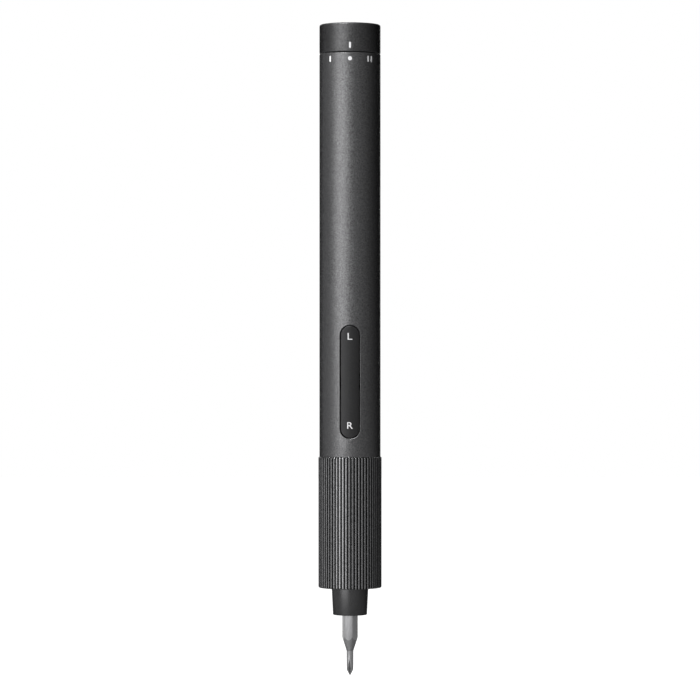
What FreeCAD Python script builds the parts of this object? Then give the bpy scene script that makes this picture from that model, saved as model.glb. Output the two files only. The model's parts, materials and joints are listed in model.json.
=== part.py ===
import FreeCAD, Part
import math
import operator
import os
from types import SimpleNamespace

import Sketcher

# Pen-shaped electric screwdriver with a two-stage planetary drive, in millimetres.
# Z is the tool's axis: the tail is up, the bit points down and the button faces -Y.
# The origin lies on the axis, where the barrel meets the shoulder of the grip.

LENGTHS = {
    # Fits and clearances that many pieces share
    "fixed_gap": 0.03,
    "running_gap": 0.05,
    "end_gap": 0.2,
    "cut_overrun": 1.0,
    "edge_match": 0.01,
    # Casing
    "barrel_diameter": 17.6,
    "barrel_wall": 1.2,
    "barrel_length": 115.8,
    "barrel_edge": 0.15,
    "neck_wall": 0.6,
    "neck_length": 6.0,
    "grip_step": 0.3,
    "grip_length": 37.7,
    "grip_edge": 0.25,
    "grip_lip": 1.5,
    "bore_step": 0.05,
    "groove_depth": 0.3,
    "groove_mouth": 0.5,
    "groove_floor": 0.2,
    "nose_length": 7.85,
    "nose_root_diameter": 10.56,
    "nose_tip_diameter": 9.82,
    "nose_flange": 1.5,
    "nose_edge": 0.2,
    "nose_lip": 0.8,
    # Bit
    "bit_flats": 4.0,
    "bit_length": 28.0,
    "bit_seat_depth": 10.6,
    "bit_top_edge": 0.4,
    "bit_cone_length": 4.1,
    "bit_neck_diameter": 2.0,
    "bit_neck_length": 7.0,
    "bit_tip_length": 1.6,
    "bit_tip_flat": 0.35,
    "flute_root": 0.22,
    "flute_length": 4.6,
    "flute_width": 2.2,
    # Spindle and its bearings
    "socket_gap": 0.03,
    "spindle_diameter": 7.0,
    "spindle_recess": 0.25,
    "front_bush_wall": 0.65,
    "front_bush_length": 5.0,
    "rear_bush_wall": 1.0,
    "front_plate_thickness": 2.2,
    "washer_thickness": 0.4,
    "washer_width": 1.6,
    "circlip_thickness": 0.5,
    "circlip_depth": 0.5,
    "circlip_height": 0.5,
    "circlip_mouth": 1.6,
    "magnet_diameter": 3.8,
    "magnet_length": 2.0,
    # Gear stages
    "case_wall": 0.9,
    "case_flange": 1.2,
    "bay_wall": 0.6,
    "backlash": 0.045,
    "gear_width": 3.0,
    "carrier_thickness": 1.5,
    "carrier_rim_gap": 0.3,
    "pin_diameter": 1.5,
    # Motor
    "motor_plate_thickness": 1.5,
    "motor_diameter": 12.0,
    "motor_can_wall": 0.6,
    "motor_front_wall": 1.6,
    "motor_boss_diameter": 5.4,
    "motor_boss_height": 1.0,
    "motor_end_cap": 1.5,
    "motor_end_spigot": 1.0,
    "shaft_diameter": 1.5,
    "rotor_diameter": 6.4,
    "rotor_slot": 0.9,
    "rotor_hub_wall": 0.6,
    "rotor_margin": 4.0,
    "pole_gap": 0.4,
    "pole_slot": 2.4,
    "motor_screw_diameter": 1.6,
    "motor_screw_head": 2.6,
    "motor_screw_head_height": 0.6,
    "motor_screw_grip": 1.2,
    "motor_screw_spacing": 7.8,
    "motor_tab_width": 1.2,
    "motor_tab_thickness": 0.3,
    "motor_tab_spacing": 5.0,
    "motor_tab_lap": 3.0,
    "motor_tab_run": 1.2,
    # Rocker button and switches
    "button_offset": 5.3,
    "slot_length": 32.6,
    "slot_width": 5.8,
    "button_gap": 0.3,
    "button_sink": 0.05,
    "button_thickness": 1.5,
    "button_edge": 0.15,
    "slot_edge": 0.12,
    "pivot_depth": 3.0,
    "pivot_diameter": 1.0,
    "pivot_rim": 0.8,
    "lug_width": 3.4,
    "ear_width": 1.2,
    "ear_gap": 0.3,
    "bracket_base": 0.8,
    "bracket_length": 4.4,
    "switch_spacing": 22.0,
    "switch_side": 3.2,
    "switch_height": 1.1,
    "switch_floor": 0.1,
    "plunger_diameter": 1.8,
    "plunger_height": 0.95,
    "plunger_gap": 0.05,
    "foot_width": 2.0,
    "foot_length": 1.6,
    # Control board and chassis
    "board_depth": 4.8,
    "board_thickness": 1.0,
    "board_margin_low": 2.3,
    "board_margin_high": 4.1,
    "board_width": 12.4,
    "chip_height": 0.9,
    "chip_side": 3.6,
    "chip_offset": 5.6,
    "board_screw_diameter": 0.8,
    "board_screw_head": 1.4,
    "board_screw_head_height": 0.45,
    "board_screw_length": 2.0,
    "board_screw_spacing": 10.6,
    "board_screw_inset": 1.8,
    "chassis_gap": 0.1,
    "chassis_lead": 0.5,
    "board_bay_width": 8.8,
    "board_bay_depth": 6.0,
    "chassis_web": 1.5,
    "chassis_end": 2.0,
    "chassis_relief": 1.2,
    "chassis_rib": 1.8,
    "board_bay_margin": 2.0,
    # Battery and its leads
    "battery_diameter": 10.0,
    "battery_gap": 0.1,
    "battery_nub_diameter": 4.0,
    "battery_nub_height": 0.8,
    "battery_edge": 0.4,
    "tab_width": 3.0,
    "tab_thickness": 0.2,
    "tab_channel_width": 4.8,
    "tab_channel_depth": 1.0,
    "tab_reach": 2.5,
    "tab_lap": 4.0,
    "ribbon_width": 4.4,
    "ribbon_thickness": 0.2,
    "ribbon_lap": 2.6,
    "ribbon_rise": 2.0,
    "ribbon_clearance": 0.9,
    # Tail board and port
    "tail_bay_length": 14.5,
    "tail_board_width": 8.6,
    "tail_board_lead": 1.5,
    "tail_chip_side": 3.0,
    "tail_chip_spacing": 3.6,
    "port_width": 8.94,
    "port_height": 3.16,
    "port_wall": 0.25,
    "port_gap": 0.08,
    "port_length": 7.0,
    "port_recess": 0.4,
    "port_back": 1.2,
    "tongue_width": 6.6,
    "tongue_thickness": 0.7,
    "tongue_setback": 1.2,
    # Tail plug and selector ring
    "plug_length": 7.8,
    "stem_diameter": 12.0,
    "selector_gap": 0.35,
    "selector_height": 8.25,
    "selector_edge": 0.5,
    "cover_diameter": 13.2,
    "cover_thickness": 1.15,
    "cover_sink": 0.05,
    "cover_gap": 0.15,
    "cover_play": 0.1,
    "cavity_wall": 1.1,
    "cavity_height": 1.75,
    "sensor_board_thickness": 0.6,
    "sensor_board_gap": 0.2,
    "sensor_side": 0.9,
    "sensor_height": 0.5,
    "selector_magnet_diameter": 1.4,
    "selector_magnet_length": 1.4,
    "selector_magnet_depth": 0.7,
    "ring_seal_thickness": 0.9,
    "ring_seal_drop": 2.8,
    "chassis_screw_diameter": 1.6,
    "chassis_screw_head": 2.6,
    "chassis_screw_head_height": 1.2,
    "chassis_screw_spacing": 7.2,
}

COUNTS_AND_ANGLES = {
    "rib_count": 60,
    "rib_offset_angle": 1.9,
    "planet_count": 3,
    "sun_tooth_count": 12,
    "planet_tooth_count": 12,
    "ring_tooth_count": 36,
    "pressure_angle": 25.0,
    "rotor_pole_count": 3,
    "chassis_relief_count": 4,
    "bit_turn_angle": -12.0,
    "flute_count": 4,
    "selector_step_angle": 40.0,
}

# Tooth heights as shares of the module
GEAR_ADDENDUM_SHARE = 0.9
RING_ADDENDUM_SHARE = 0.8
DEDENDUM_SHARE = 1.25

FULL_TURN = 360
HALF_TURN = 180
QUARTER_TURN = 90
FRONT_ANGLE = -QUARTER_TURN
HEX_SIDES = 6
HEX_CORNER_SHARE = 1 / math.cos(math.pi / HEX_SIDES)

V = FreeCAD.Vector
Z_AXIS = V(0, 0, 1)
doc = FreeCAD.newDocument("electric_screwdriver")
sheet = doc.addObject("Spreadsheet::Sheet", "dims")
for row, (alias, number) in enumerate((LENGTHS | COUNTS_AND_ANGLES).items(), start=1):
    sheet.set(f"A{row}", alias)
    sheet.set(f"B{row}", str(number))
    sheet.setAlias(f"B{row}", alias)
doc.recompute()


class Size:
    """A cell of the sheet, or a size worked out from cells: its expression and its value."""

    def __init__(self, text, value):
        self.text = text
        self.value = value

    def joined(self, sign, work, other, swapped=False):
        other = other if isinstance(other, Size) else Size(repr(other), other)
        left, right = (other, self) if swapped else (self, other)
        return Size(f"({left.text} {sign} {right.text})", work(left.value, right.value))

    def __add__(self, other):
        return self.joined("+", operator.add, other)

    def __radd__(self, other):
        return self.joined("+", operator.add, other, swapped=True)

    def __sub__(self, other):
        return self.joined("-", operator.sub, other)

    def __rsub__(self, other):
        return self.joined("-", operator.sub, other, swapped=True)

    def __mul__(self, other):
        return self.joined("*", operator.mul, other)

    def __truediv__(self, other):
        return self.joined("/", operator.truediv, other)

    def __neg__(self):
        return 0 - self


dims = SimpleNamespace()
for alias in LENGTHS | COUNTS_AND_ANGLES:
    setattr(dims, alias, Size(f"dims.{alias}", float(sheet.get(alias))))

pieces = []


def value_of(size):
    return size.value if isinstance(size, Size) else size


def bind(thing, **sizes):
    """Ties properties of an object to the sheet."""
    for name, size in sizes.items():
        if isinstance(size, Size):
            thing.setExpression(name, size.text)
        else:
            setattr(thing, name, size)


def place(thing, x=0, y=0, z=0, rotation=FreeCAD.Rotation()):
    """Puts an object at a place that is tied to the sheet."""
    thing.Placement = FreeCAD.Placement(V(value_of(x), value_of(y), value_of(z)), rotation)
    for letter, size in (("x", x), ("y", y), ("z", z)):
        if isinstance(size, Size):
            thing.setExpression(f"Placement.Base.{letter}", size.text)


def piece(thing, name):
    """Names a finished piece, which is written to the file of that name."""
    thing.Label = name
    pieces.append(thing)
    return thing


def bar(name, radius, low, high, x=0, y=0):
    """A round bar along Z."""
    rod = doc.addObject("Part::Cylinder", name)
    bind(rod, Radius=radius, Height=high - low)
    place(rod, x, y, low)
    return rod


def bar_along_x(name, radius, half_length, y, z):
    rod = doc.addObject("Part::Cylinder", name)
    bind(rod, Radius=radius, Height=half_length * 2)
    place(rod, -half_length, y, z, FreeCAD.Rotation(V(0, 1, 0), QUARTER_TURN))
    return rod


def bar_along_y(name, radius, low, high, x, z):
    rod = doc.addObject("Part::Cylinder", name)
    bind(rod, Radius=radius, Height=high - low)
    place(rod, x, low, z, FreeCAD.Rotation(V(1, 0, 0), -QUARTER_TURN))
    return rod


def block(name, x, y, z):
    """A box between the low and high of each axis."""
    box = doc.addObject("Part::Box", name)
    bind(box, Length=x[1] - x[0], Width=y[1] - y[0], Height=z[1] - z[0])
    place(box, x[0], y[0], z[0])
    return box


def either_side(half):
    return (-half, half)


def cut(name, base, *tools):
    tool = tools[0] if len(tools) == 1 else fuse(f"{name}_tools", *tools)
    result = doc.addObject("Part::Cut", name)
    result.Base = base
    result.Tool = tool
    return result


def fuse(name, *shapes):
    result = doc.addObject("Part::MultiFuse", name)
    result.Shapes = list(shapes)
    return result


def group(name, *shapes):
    """Separate solids that share one name."""
    result = doc.addObject("Part::Compound", name)
    result.Links = list(shapes)
    return result


def new_sketch(body, name, plane, height=0):
    sketch = body.newObject("Sketcher::SketchObject", name)
    origin = [feature for feature in body.Origin.OriginFeatures if feature.Role == plane]
    sketch.AttachmentSupport = (origin[0], [""])
    sketch.MapMode = "FlatFace"
    if isinstance(height, Size):
        sketch.AttachmentOffset = FreeCAD.Placement(V(0, 0, height.value), FreeCAD.Rotation())
        sketch.setExpression("AttachmentOffset.Base.z", height.text)
    return sketch


def hold(sketch, element, point, along, size):
    """Ties one coordinate of a sketch point to the sheet."""
    if not isinstance(size, Size):
        across = {"DistanceX": -2, "DistanceY": -1}[along]
        sketch.addConstraint(Sketcher.Constraint("PointOnObject", element, point, across))
        return
    index = sketch.addConstraint(Sketcher.Constraint(along, -1, 1, element, point, size.value))
    sketch.setExpression(f"Constraints[{index}]", size.text)


def outline(sketch, points):
    """A closed outline of straight lines, with every point tied to the sheet."""
    spots = [V(value_of(x), value_of(y), 0) for x, y in points]
    count = len(points)
    first = sketch.GeometryCount
    for index in range(count):
        sketch.addGeometry(Part.LineSegment(spots[index], spots[(index + 1) % count]))
    for index in range(count):
        following = first + (index + 1) % count
        sketch.addConstraint(Sketcher.Constraint("Coincident", first + index, 2, following, 1))
    for index, (x, y) in enumerate(points):
        hold(sketch, first + index, 1, "DistanceX", x)
        hold(sketch, first + index, 1, "DistanceY", y)


def round_ended(sketch, length, width, middle=0, upright=True):
    """A slot with half-round ends, along the sketch's y when upright and else along its x."""
    radius = width / 2
    reach = (length - width) / 2
    ends = (middle + reach, middle - reach)
    turn = 0 if upright else -math.pi / 2
    spots = []
    for end in ends:
        spots.append(V(0, end.value, 0) if upright else V(end.value, 0, 0))
    first = sketch.GeometryCount
    for index, spot in enumerate(spots):
        circle = Part.Circle(spot, Z_AXIS, radius.value)
        start = turn + index * math.pi
        sketch.addGeometry(Part.ArcOfCircle(circle, start, start + math.pi))
    side = V(radius.value, 0, 0) if upright else V(0, -radius.value, 0)
    sketch.addGeometry(Part.LineSegment(spots[0] - side, spots[1] - side))
    sketch.addGeometry(Part.LineSegment(spots[1] + side, spots[0] + side))
    top, bottom, left, right = range(first, first + len(spots) * 2)
    for one, two in ((top, left), (left, bottom), (bottom, right), (right, top)):
        sketch.addConstraint(Sketcher.Constraint("Tangent", one, 2, two, 1))
    sketch.addConstraint(Sketcher.Constraint("Equal", top, bottom))
    index = sketch.addConstraint(Sketcher.Constraint("Radius", top, radius.value))
    sketch.setExpression(f"Constraints[{index}]", radius.text)
    for arc, end in ((top, ends[0]), (bottom, ends[1])):
        hold(sketch, arc, 3, "DistanceX", 0 if upright else end)
        hold(sketch, arc, 3, "DistanceY", end if upright else 0)


def turned(name, *points):
    """A body turned about the tool's axis from (radius, height) points."""
    body = doc.addObject("PartDesign::Body", name)
    profile = new_sketch(body, f"{name}_profile", "XZ_Plane")
    outline(profile, points)
    turning = body.newObject("PartDesign::Revolution", f"{name}_turning")
    turning.Profile = profile
    turning.ReferenceAxis = (profile, ["V_Axis"])
    turning.Angle = FULL_TURN
    return body


def ring(name, inner, outer, low, high):
    return turned(name, (inner, low), (outer, low), (outer, high), (inner, high))


def padded(name, plane, draw, height, start=0, symmetric=False):
    """A body raised from a sketch that the draw function fills."""
    body = doc.addObject("PartDesign::Body", name)
    sketch = new_sketch(body, f"{name}_sketch", plane, start)
    draw(sketch)
    pad = body.newObject("PartDesign::Pad", f"{name}_pad")
    pad.Profile = sketch
    bind(pad, Length=height)
    if symmetric:
        pad.SideType = "Symmetric"
    return body


def edges_on(shape, radius, low, high):
    """The numbers of the edges that lie on one radius, between two heights."""
    numbers = []
    for number, edge in enumerate(shape.Edges, start=1):
        middle = (edge.FirstParameter + edge.LastParameter) / 2
        spots = [edge.valueAt(at) for at in (edge.FirstParameter, middle, edge.LastParameter)]
        off_radius = max(abs(math.hypot(spot.x, spot.y) - radius.value) for spot in spots)
        below = max(low.value - spot.z for spot in spots)
        above = max(spot.z - high.value for spot in spots)
        if max(off_radius, below, above) < dims.edge_match.value:
            numbers.append(number)
    return numbers


def dress_edges(body, kind, size, radius, low, high):
    """Rounds or bevels the edges of a body on one radius, between two heights."""
    doc.recompute()
    base = body.Tip
    chosen = [f"Edge{number}" for number in edges_on(base.Shape, radius, low, high)]
    feature = body.newObject(f"PartDesign::{kind}", f"{base.Name}_{kind.lower()}")
    feature.Base = (base, chosen)
    bind(feature, **{"Radius" if kind == "Fillet" else "Size": size})


def hexagon(name, flats, low, high):
    """A six-sided bar along the axis, turned as the bit rests in the tool."""
    prism = doc.addObject("Part::Prism", name)
    prism.Polygon = HEX_SIDES
    bind(prism, Circumradius=flats / 2 * HEX_CORNER_SHARE, Height=high - low)
    place(prism, z=low, rotation=FreeCAD.Rotation(Z_AXIS, dims.bit_turn_angle.value))
    prism.setExpression("Placement.Rotation.Angle", dims.bit_turn_angle.text)
    return prism


# Radii of the casing, and what follows from them
barrel_radius = dims.barrel_diameter / 2
barrel_bore = barrel_radius - dims.barrel_wall
neck_radius = barrel_bore + dims.neck_wall
grip_radius = barrel_radius + dims.grip_step
grip_bore = barrel_bore - dims.bore_step
case_radius = grip_bore - dims.bore_step
spindle_radius = dims.spindle_diameter / 2
pin_radius = dims.pin_diameter / 2
shaft_radius = dims.shaft_diameter / 2
motor_radius = dims.motor_diameter / 2
bay_radius = case_radius - dims.bay_wall

# Heights along the drive, from the bit up to the motor's tail
grip_bottom = -dims.grip_length
nose_bottom = grip_bottom - dims.nose_length
bit_top = nose_bottom + dims.bit_seat_depth
bit_tip = bit_top - dims.bit_length
spindle_bottom = nose_bottom + dims.spindle_recess
lip_top = grip_bottom + dims.grip_lip
flange_top = lip_top + dims.nose_flange
plate_top = flange_top + dims.front_plate_thickness
washer_top = plate_top + dims.washer_thickness
output_carrier_low = washer_top + dims.end_gap / 2
output_carrier_high = output_carrier_low + dims.carrier_thickness
output_low = output_carrier_high + dims.end_gap
output_high = output_low + dims.gear_width
stage_carrier_low = output_high + dims.end_gap
stage_carrier_high = stage_carrier_low + dims.carrier_thickness
input_low = stage_carrier_high + dims.end_gap
input_high = input_low + dims.gear_width
motor_plate_low = input_high + dims.end_gap
motor_low = motor_plate_low + dims.motor_plate_thickness
case_flange_top = -dims.neck_length
case_flange_low = case_flange_top - dims.case_flange

# Heights and depths of the button and the board behind it
slot_high = dims.button_offset + dims.slot_length
pivot_z = dims.button_offset + dims.slot_length / 2
pivot_y = dims.pivot_depth - barrel_radius
board_front = dims.board_depth - barrel_radius
board_back = board_front + dims.board_thickness
board_low = dims.button_offset - dims.board_margin_low
board_high = slot_high + dims.board_margin_high
motor_top = board_low - dims.motor_tab_run
can_top = motor_top - dims.motor_end_cap
switch_top = board_front - dims.switch_height
plunger_tail = switch_top + dims.switch_height / 2
plunger_tip = plunger_tail - dims.plunger_height
foot_tip = plunger_tip - dims.plunger_gap
crown_radius = barrel_radius - dims.button_sink
hollow_radius = crown_radius - dims.button_thickness

# Heights of the tail, from the chassis up to the port cover
tail_low = dims.barrel_length - dims.plug_length
chassis_low = board_low - dims.chassis_lead
chassis_radius = barrel_bore - dims.chassis_gap
tail_bay_high = tail_low - dims.chassis_end
tail_bay_low = tail_bay_high - dims.tail_bay_length
battery_bay_high = tail_bay_low - dims.chassis_web
board_bay_high = board_high + dims.board_bay_margin
battery_bay_low = board_bay_high + dims.chassis_web
battery_low = battery_bay_low + dims.tab_thickness
battery_high = battery_bay_high - dims.tab_thickness
battery_radius = dims.battery_diameter / 2
selector_low = dims.barrel_length + dims.selector_gap
selector_high = selector_low + dims.selector_height
cover_high = selector_high - dims.cover_sink
cover_low = cover_high - dims.cover_thickness
port_high = selector_high - dims.port_recess
port_low = port_high - dims.port_length
stem_radius = dims.stem_diameter / 2

# Gears: the module follows from the room that the case leaves for the ring's teeth
ring_root_radius = case_radius - dims.case_wall
module = ring_root_radius / (dims.ring_tooth_count / 2 + DEDENDUM_SHARE)
ring_tip_radius = module * (dims.ring_tooth_count / 2 - RING_ADDENDUM_SHARE)
planet_reach = module * (dims.sun_tooth_count + dims.planet_tooth_count) / 2
carrier_radius = ring_tip_radius - dims.carrier_rim_gap


def involute(angle):
    return math.tan(angle) - angle


def tooth_face(tooth_count, addendum_share, dedendum_share, thickness, first_angle):
    """The face of a gear whose first tooth is centred on first_angle, in degrees."""
    count = int(value_of(tooth_count))
    step = module.value
    pitch_radius = step * count / 2
    pressure = math.radians(dims.pressure_angle.value)
    base_radius = pitch_radius * math.cos(pressure)
    tip = pitch_radius + step * addendum_share
    root = pitch_radius - step * dedendum_share
    flank_start = max(base_radius, root)

    def half_angle(radius):
        slope = math.acos(min(1, base_radius / radius))
        return thickness / 2 / pitch_radius + involute(pressure) - involute(slope)

    def spot(radius, angle):
        return V(radius * math.cos(angle), radius * math.sin(angle), 0)

    edges = []
    flank_middle = (flank_start + tip) / 2
    pitch_angle = 2 * math.pi / count
    for index in range(count):
        centre = math.radians(first_angle) + index * pitch_angle
        near, middle, far = (half_angle(radius) for radius in (flank_start, flank_middle, tip))
        rising = [spot(flank_start, centre - near), spot(flank_middle, centre - middle),
                  spot(tip, centre - far)]
        falling = [spot(tip, centre + far), spot(flank_middle, centre + middle),
                   spot(flank_start, centre + near)]
        foot_before = spot(root, centre - near)
        foot_after = spot(root, centre + near)
        foot_next = spot(root, centre + pitch_angle - near)
        if flank_start > root:
            edges.append(Part.LineSegment(foot_before, rising[0]).toShape())
        edges.append(Part.Arc(*rising).toShape())
        edges.append(Part.Arc(rising[-1], spot(tip, centre), falling[0]).toShape())
        edges.append(Part.Arc(*falling).toShape())
        if flank_start > root:
            edges.append(Part.LineSegment(falling[-1], foot_after).toShape())
        edges.append(Part.Arc(foot_after, spot(root, centre + pitch_angle / 2), foot_next).toShape())
    return Part.Face(Part.Wire(edges))


def gear(name, tooth_count, low, high, bore_radius=0, first_angle=0):
    """A spur gear along Z, with its teeth thinned by half of the backlash on each side."""
    thickness = module.value * math.pi / 2 - dims.backlash.value
    face = tooth_face(tooth_count, GEAR_ADDENDUM_SHARE, DEDENDUM_SHARE, thickness, first_angle)
    wheel = face.extrude(Z_AXIS * (high - low).value)
    if bore_radius:
        wheel = wheel.cut(Part.makeCylinder(bore_radius.value, (high - low).value))
    feature = doc.addObject("Part::Feature", name)
    feature.Shape = wheel
    feature.Placement = FreeCAD.Placement(V(0, 0, low.value), FreeCAD.Rotation())
    return feature


def planet_angles():
    count = int(dims.planet_count.value)
    return [FULL_TURN / count * index for index in range(count)]


def planets(name, low, high):
    """Planet gears with a gap turned to the sun, each in its place round the axis."""
    half_tooth = HALF_TURN / dims.planet_tooth_count.value
    for letter, angle in zip("abc", planet_angles()):
        wheel = gear(f"{name}_{letter}", dims.planet_tooth_count, low, high,
                     pin_radius + dims.running_gap, first_angle=half_tooth)
        around = FreeCAD.Rotation(Z_AXIS, angle)
        spot = around.multVec(V(planet_reach.value, 0, low.value))
        wheel.Placement = FreeCAD.Placement(spot, around)
        piece(wheel, f"{name}_{letter}")


def around_axis(name, radius, low, high):
    """Round bars at the planets' places."""
    rods = []
    for letter, angle in zip("abc", planet_angles()):
        x = planet_reach * math.cos(math.radians(angle))
        y = planet_reach * math.sin(math.radians(angle))
        rods.append(bar(f"{name}_{letter}", radius, low, high, x, y))
    return rods


def make_barrel():
    body = turned("barrel", (barrel_bore, -dims.neck_length), (neck_radius, -dims.neck_length),
                  (neck_radius, 0), (barrel_radius, 0), (barrel_radius, dims.barrel_length),
                  (barrel_bore, dims.barrel_length))
    slot = new_sketch(body, "barrel_slot", "XZ_Plane")
    round_ended(slot, dims.slot_length, dims.slot_width, pivot_z)
    pocket = body.newObject("PartDesign::Pocket", "barrel_slot_cut")
    pocket.Profile = slot
    pocket.Reversed = True
    bind(pocket, Length=grip_radius + dims.cut_overrun)
    dress_edges(body, "Chamfer", dims.slot_edge, barrel_radius, dims.button_offset, slot_high)
    dress_edges(body, "Chamfer", dims.barrel_edge, barrel_radius, dims.barrel_length, dims.barrel_length)
    piece(body, "barrel")


def make_grip():
    counterbore = neck_radius + dims.fixed_gap
    nose_hole = dims.nose_root_diameter / 2 + dims.fixed_gap
    edge = dims.grip_edge
    body = turned("grip_sleeve", (nose_hole, grip_bottom), (grip_radius - edge, grip_bottom),
                  (grip_radius, grip_bottom + edge), (grip_radius, -edge), (grip_radius - edge, 0),
                  (counterbore, 0), (counterbore, case_flange_low), (grip_bore, case_flange_low),
                  (grip_bore, lip_top), (nose_hole, lip_top))
    groove = new_sketch(body, "grip_groove", "XY_Plane", grip_bottom - dims.cut_overrun)
    floor = grip_radius - dims.groove_depth
    mouth = grip_radius + dims.groove_depth
    flare = dims.groove_mouth - dims.groove_floor / 2
    outline(groove, [(floor, -dims.groove_floor / 2), (mouth, -flare), (mouth, flare),
                     (floor, dims.groove_floor / 2)])
    pocket = body.newObject("PartDesign::Pocket", "grip_groove_cut")
    pocket.Profile = groove
    pocket.Reversed = True
    bind(pocket, Length=dims.grip_length + dims.cut_overrun * 2)
    pattern = body.newObject("PartDesign::PolarPattern", "grip_ribs")
    pattern.Originals = [pocket]
    pattern.Axis = (groove, ["N_Axis"])
    pattern.Angle = FULL_TURN
    bind(pattern, Occurrences=dims.rib_count)
    body.Tip = pattern
    place(body, rotation=FreeCAD.Rotation(Z_AXIS, dims.rib_offset_angle.value))
    body.setExpression("Placement.Rotation.Angle", dims.rib_offset_angle.text)
    piece(body, "grip_sleeve")


def make_nose():
    tip = dims.nose_tip_diameter / 2
    root = dims.nose_root_diameter / 2
    edge = dims.nose_edge
    mouth = spindle_radius + dims.end_gap
    seat = spindle_radius + dims.running_gap + dims.front_bush_wall
    lip = nose_bottom + dims.nose_lip
    flange = grip_bore - dims.bore_step
    piece(turned("nose_cone", (mouth, nose_bottom), (tip - edge, nose_bottom), (tip, nose_bottom + edge),
                 (root, grip_bottom), (root, lip_top), (flange, lip_top), (flange, flange_top),
                 (seat, flange_top), (seat, lip), (mouth, lip)), "nose_cone")
    piece(ring("front_bush", spindle_radius + dims.running_gap, seat - dims.fixed_gap, lip,
               lip + dims.front_bush_length), "front_bush")


def make_spindle():
    groove_high = flange_top - dims.end_gap / 2
    groove_low = groove_high - dims.circlip_thickness
    groove_radius = spindle_radius - dims.circlip_depth
    blank = turned("spindle_blank", (0, spindle_bottom), (spindle_radius, spindle_bottom),
                   (spindle_radius, groove_low), (groove_radius, groove_low), (groove_radius, groove_high),
                   (spindle_radius, groove_high), (spindle_radius, output_carrier_low),
                   (carrier_radius, output_carrier_low), (carrier_radius, output_carrier_high),
                   (0, output_carrier_high))
    magnet_low = bit_top + dims.running_gap
    magnet_high = magnet_low + dims.magnet_length
    socket = hexagon("spindle_socket", dims.bit_flats + dims.socket_gap * 2,
                     spindle_bottom - dims.cut_overrun, magnet_high)
    holes = around_axis("spindle_hole", pin_radius + dims.fixed_gap,
                        output_carrier_low - dims.cut_overrun, output_carrier_high + dims.cut_overrun)
    piece(cut("spindle", blank, socket, *holes), "spindle")
    pins = around_axis("spindle_pin", pin_radius, output_carrier_low, output_high)
    piece(group("spindle_pins", *pins), "spindle_pins")
    piece(bar("bit_magnet", dims.magnet_diameter / 2, magnet_low, magnet_high), "bit_magnet")
    clip_slack = dims.running_gap / 2
    clip = ring("spindle_circlip_ring", groove_radius + clip_slack, spindle_radius + dims.circlip_height,
                groove_low + clip_slack, groove_high - clip_slack)
    mouth = block("spindle_circlip_mouth", either_side(dims.circlip_mouth / 2),
                  (0, spindle_radius + dims.cut_overrun), (groove_low, groove_high))
    piece(cut("spindle_circlip", clip, mouth), "spindle_circlip")


def make_front_plate():
    bush_radius = spindle_radius + dims.rear_bush_wall
    piece(ring("front_plate", bush_radius + dims.fixed_gap, case_radius, flange_top, plate_top),
          "front_plate")
    piece(ring("rear_bush", spindle_radius + dims.running_gap, bush_radius, flange_top, plate_top),
          "rear_bush")
    piece(ring("thrust_washer", spindle_radius + dims.end_gap / 2, spindle_radius + dims.washer_width,
               plate_top, washer_top), "thrust_washer")


def make_gear_case():
    core = ring_tip_radius - module
    flange = neck_radius
    blank = turned("gear_case_blank", (core, plate_top), (case_radius, plate_top),
                   (case_radius, case_flange_low), (flange, case_flange_low), (flange, case_flange_top),
                   (bay_radius, case_flange_top), (bay_radius, motor_plate_low), (core, motor_plate_low))
    thickness = module.value * math.pi / 2 + dims.backlash.value
    first_gap = HALF_TURN / dims.ring_tooth_count.value
    face = tooth_face(dims.ring_tooth_count, DEDENDUM_SHARE, RING_ADDENDUM_SHARE, thickness, first_gap)
    length = motor_plate_low - plate_top + dims.cut_overrun * 2
    spaces = doc.addObject("Part::Feature", "ring_tooth_spaces")
    spaces.Shape = face.extrude(Z_AXIS * length.value)
    spaces.Placement = FreeCAD.Placement(V(0, 0, (plate_top - dims.cut_overrun).value), FreeCAD.Rotation())
    piece(cut("gear_case", blank, spaces), "gear_case")


def make_stage_carrier():
    disc = bar("stage_disc", carrier_radius, stage_carrier_low, stage_carrier_high)
    sun = gear("stage_sun", dims.sun_tooth_count, output_low, stage_carrier_high)
    holes = around_axis("stage_hole", pin_radius + dims.fixed_gap,
                        stage_carrier_low - dims.end_gap, stage_carrier_high + dims.end_gap)
    piece(cut("stage_carrier", fuse("stage_blank", disc, sun), *holes), "stage_carrier")
    pins = around_axis("stage_pin", pin_radius, stage_carrier_low, input_high)
    piece(group("stage_pins", *pins), "stage_pins")


def make_motor_plate():
    boss_hole = dims.motor_boss_diameter / 2 + dims.fixed_gap
    disc = ring("motor_plate_disc", boss_hole, bay_radius - dims.fixed_gap, motor_plate_low, motor_low)
    screw_radius = dims.motor_screw_diameter / 2
    head_radius = dims.motor_screw_head / 2
    head_top = motor_plate_low + dims.motor_screw_head_height
    tip = motor_low + dims.motor_screw_grip
    holes, screws = [], []
    for side, x in zip(("left", "right"), either_side(dims.motor_screw_spacing / 2)):
        sink = doc.addObject("Part::Cone", f"motor_sink_{side}")
        bind(sink, Radius1=head_radius + dims.fixed_gap, Radius2=screw_radius + dims.fixed_gap,
             Height=dims.motor_screw_head_height)
        place(sink, x, 0, motor_plate_low)
        holes.append(sink)
        holes.append(bar(f"motor_hole_{side}", screw_radius + dims.fixed_gap, head_top - dims.fixed_gap,
                         tip, x))
        head = doc.addObject("Part::Cone", f"motor_head_{side}")
        bind(head, Radius1=head_radius, Radius2=screw_radius, Height=dims.motor_screw_head_height)
        place(head, x, 0, motor_plate_low)
        shank = bar(f"motor_shank_{side}", screw_radius, head_top, tip, x)
        screws.append(fuse(f"motor_screw_{side}", head, shank))
    piece(cut("motor_plate", disc, *holes), "motor_plate")
    piece(group("motor_screws", *screws), "motor_screws")
    return holes[1::2]


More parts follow.
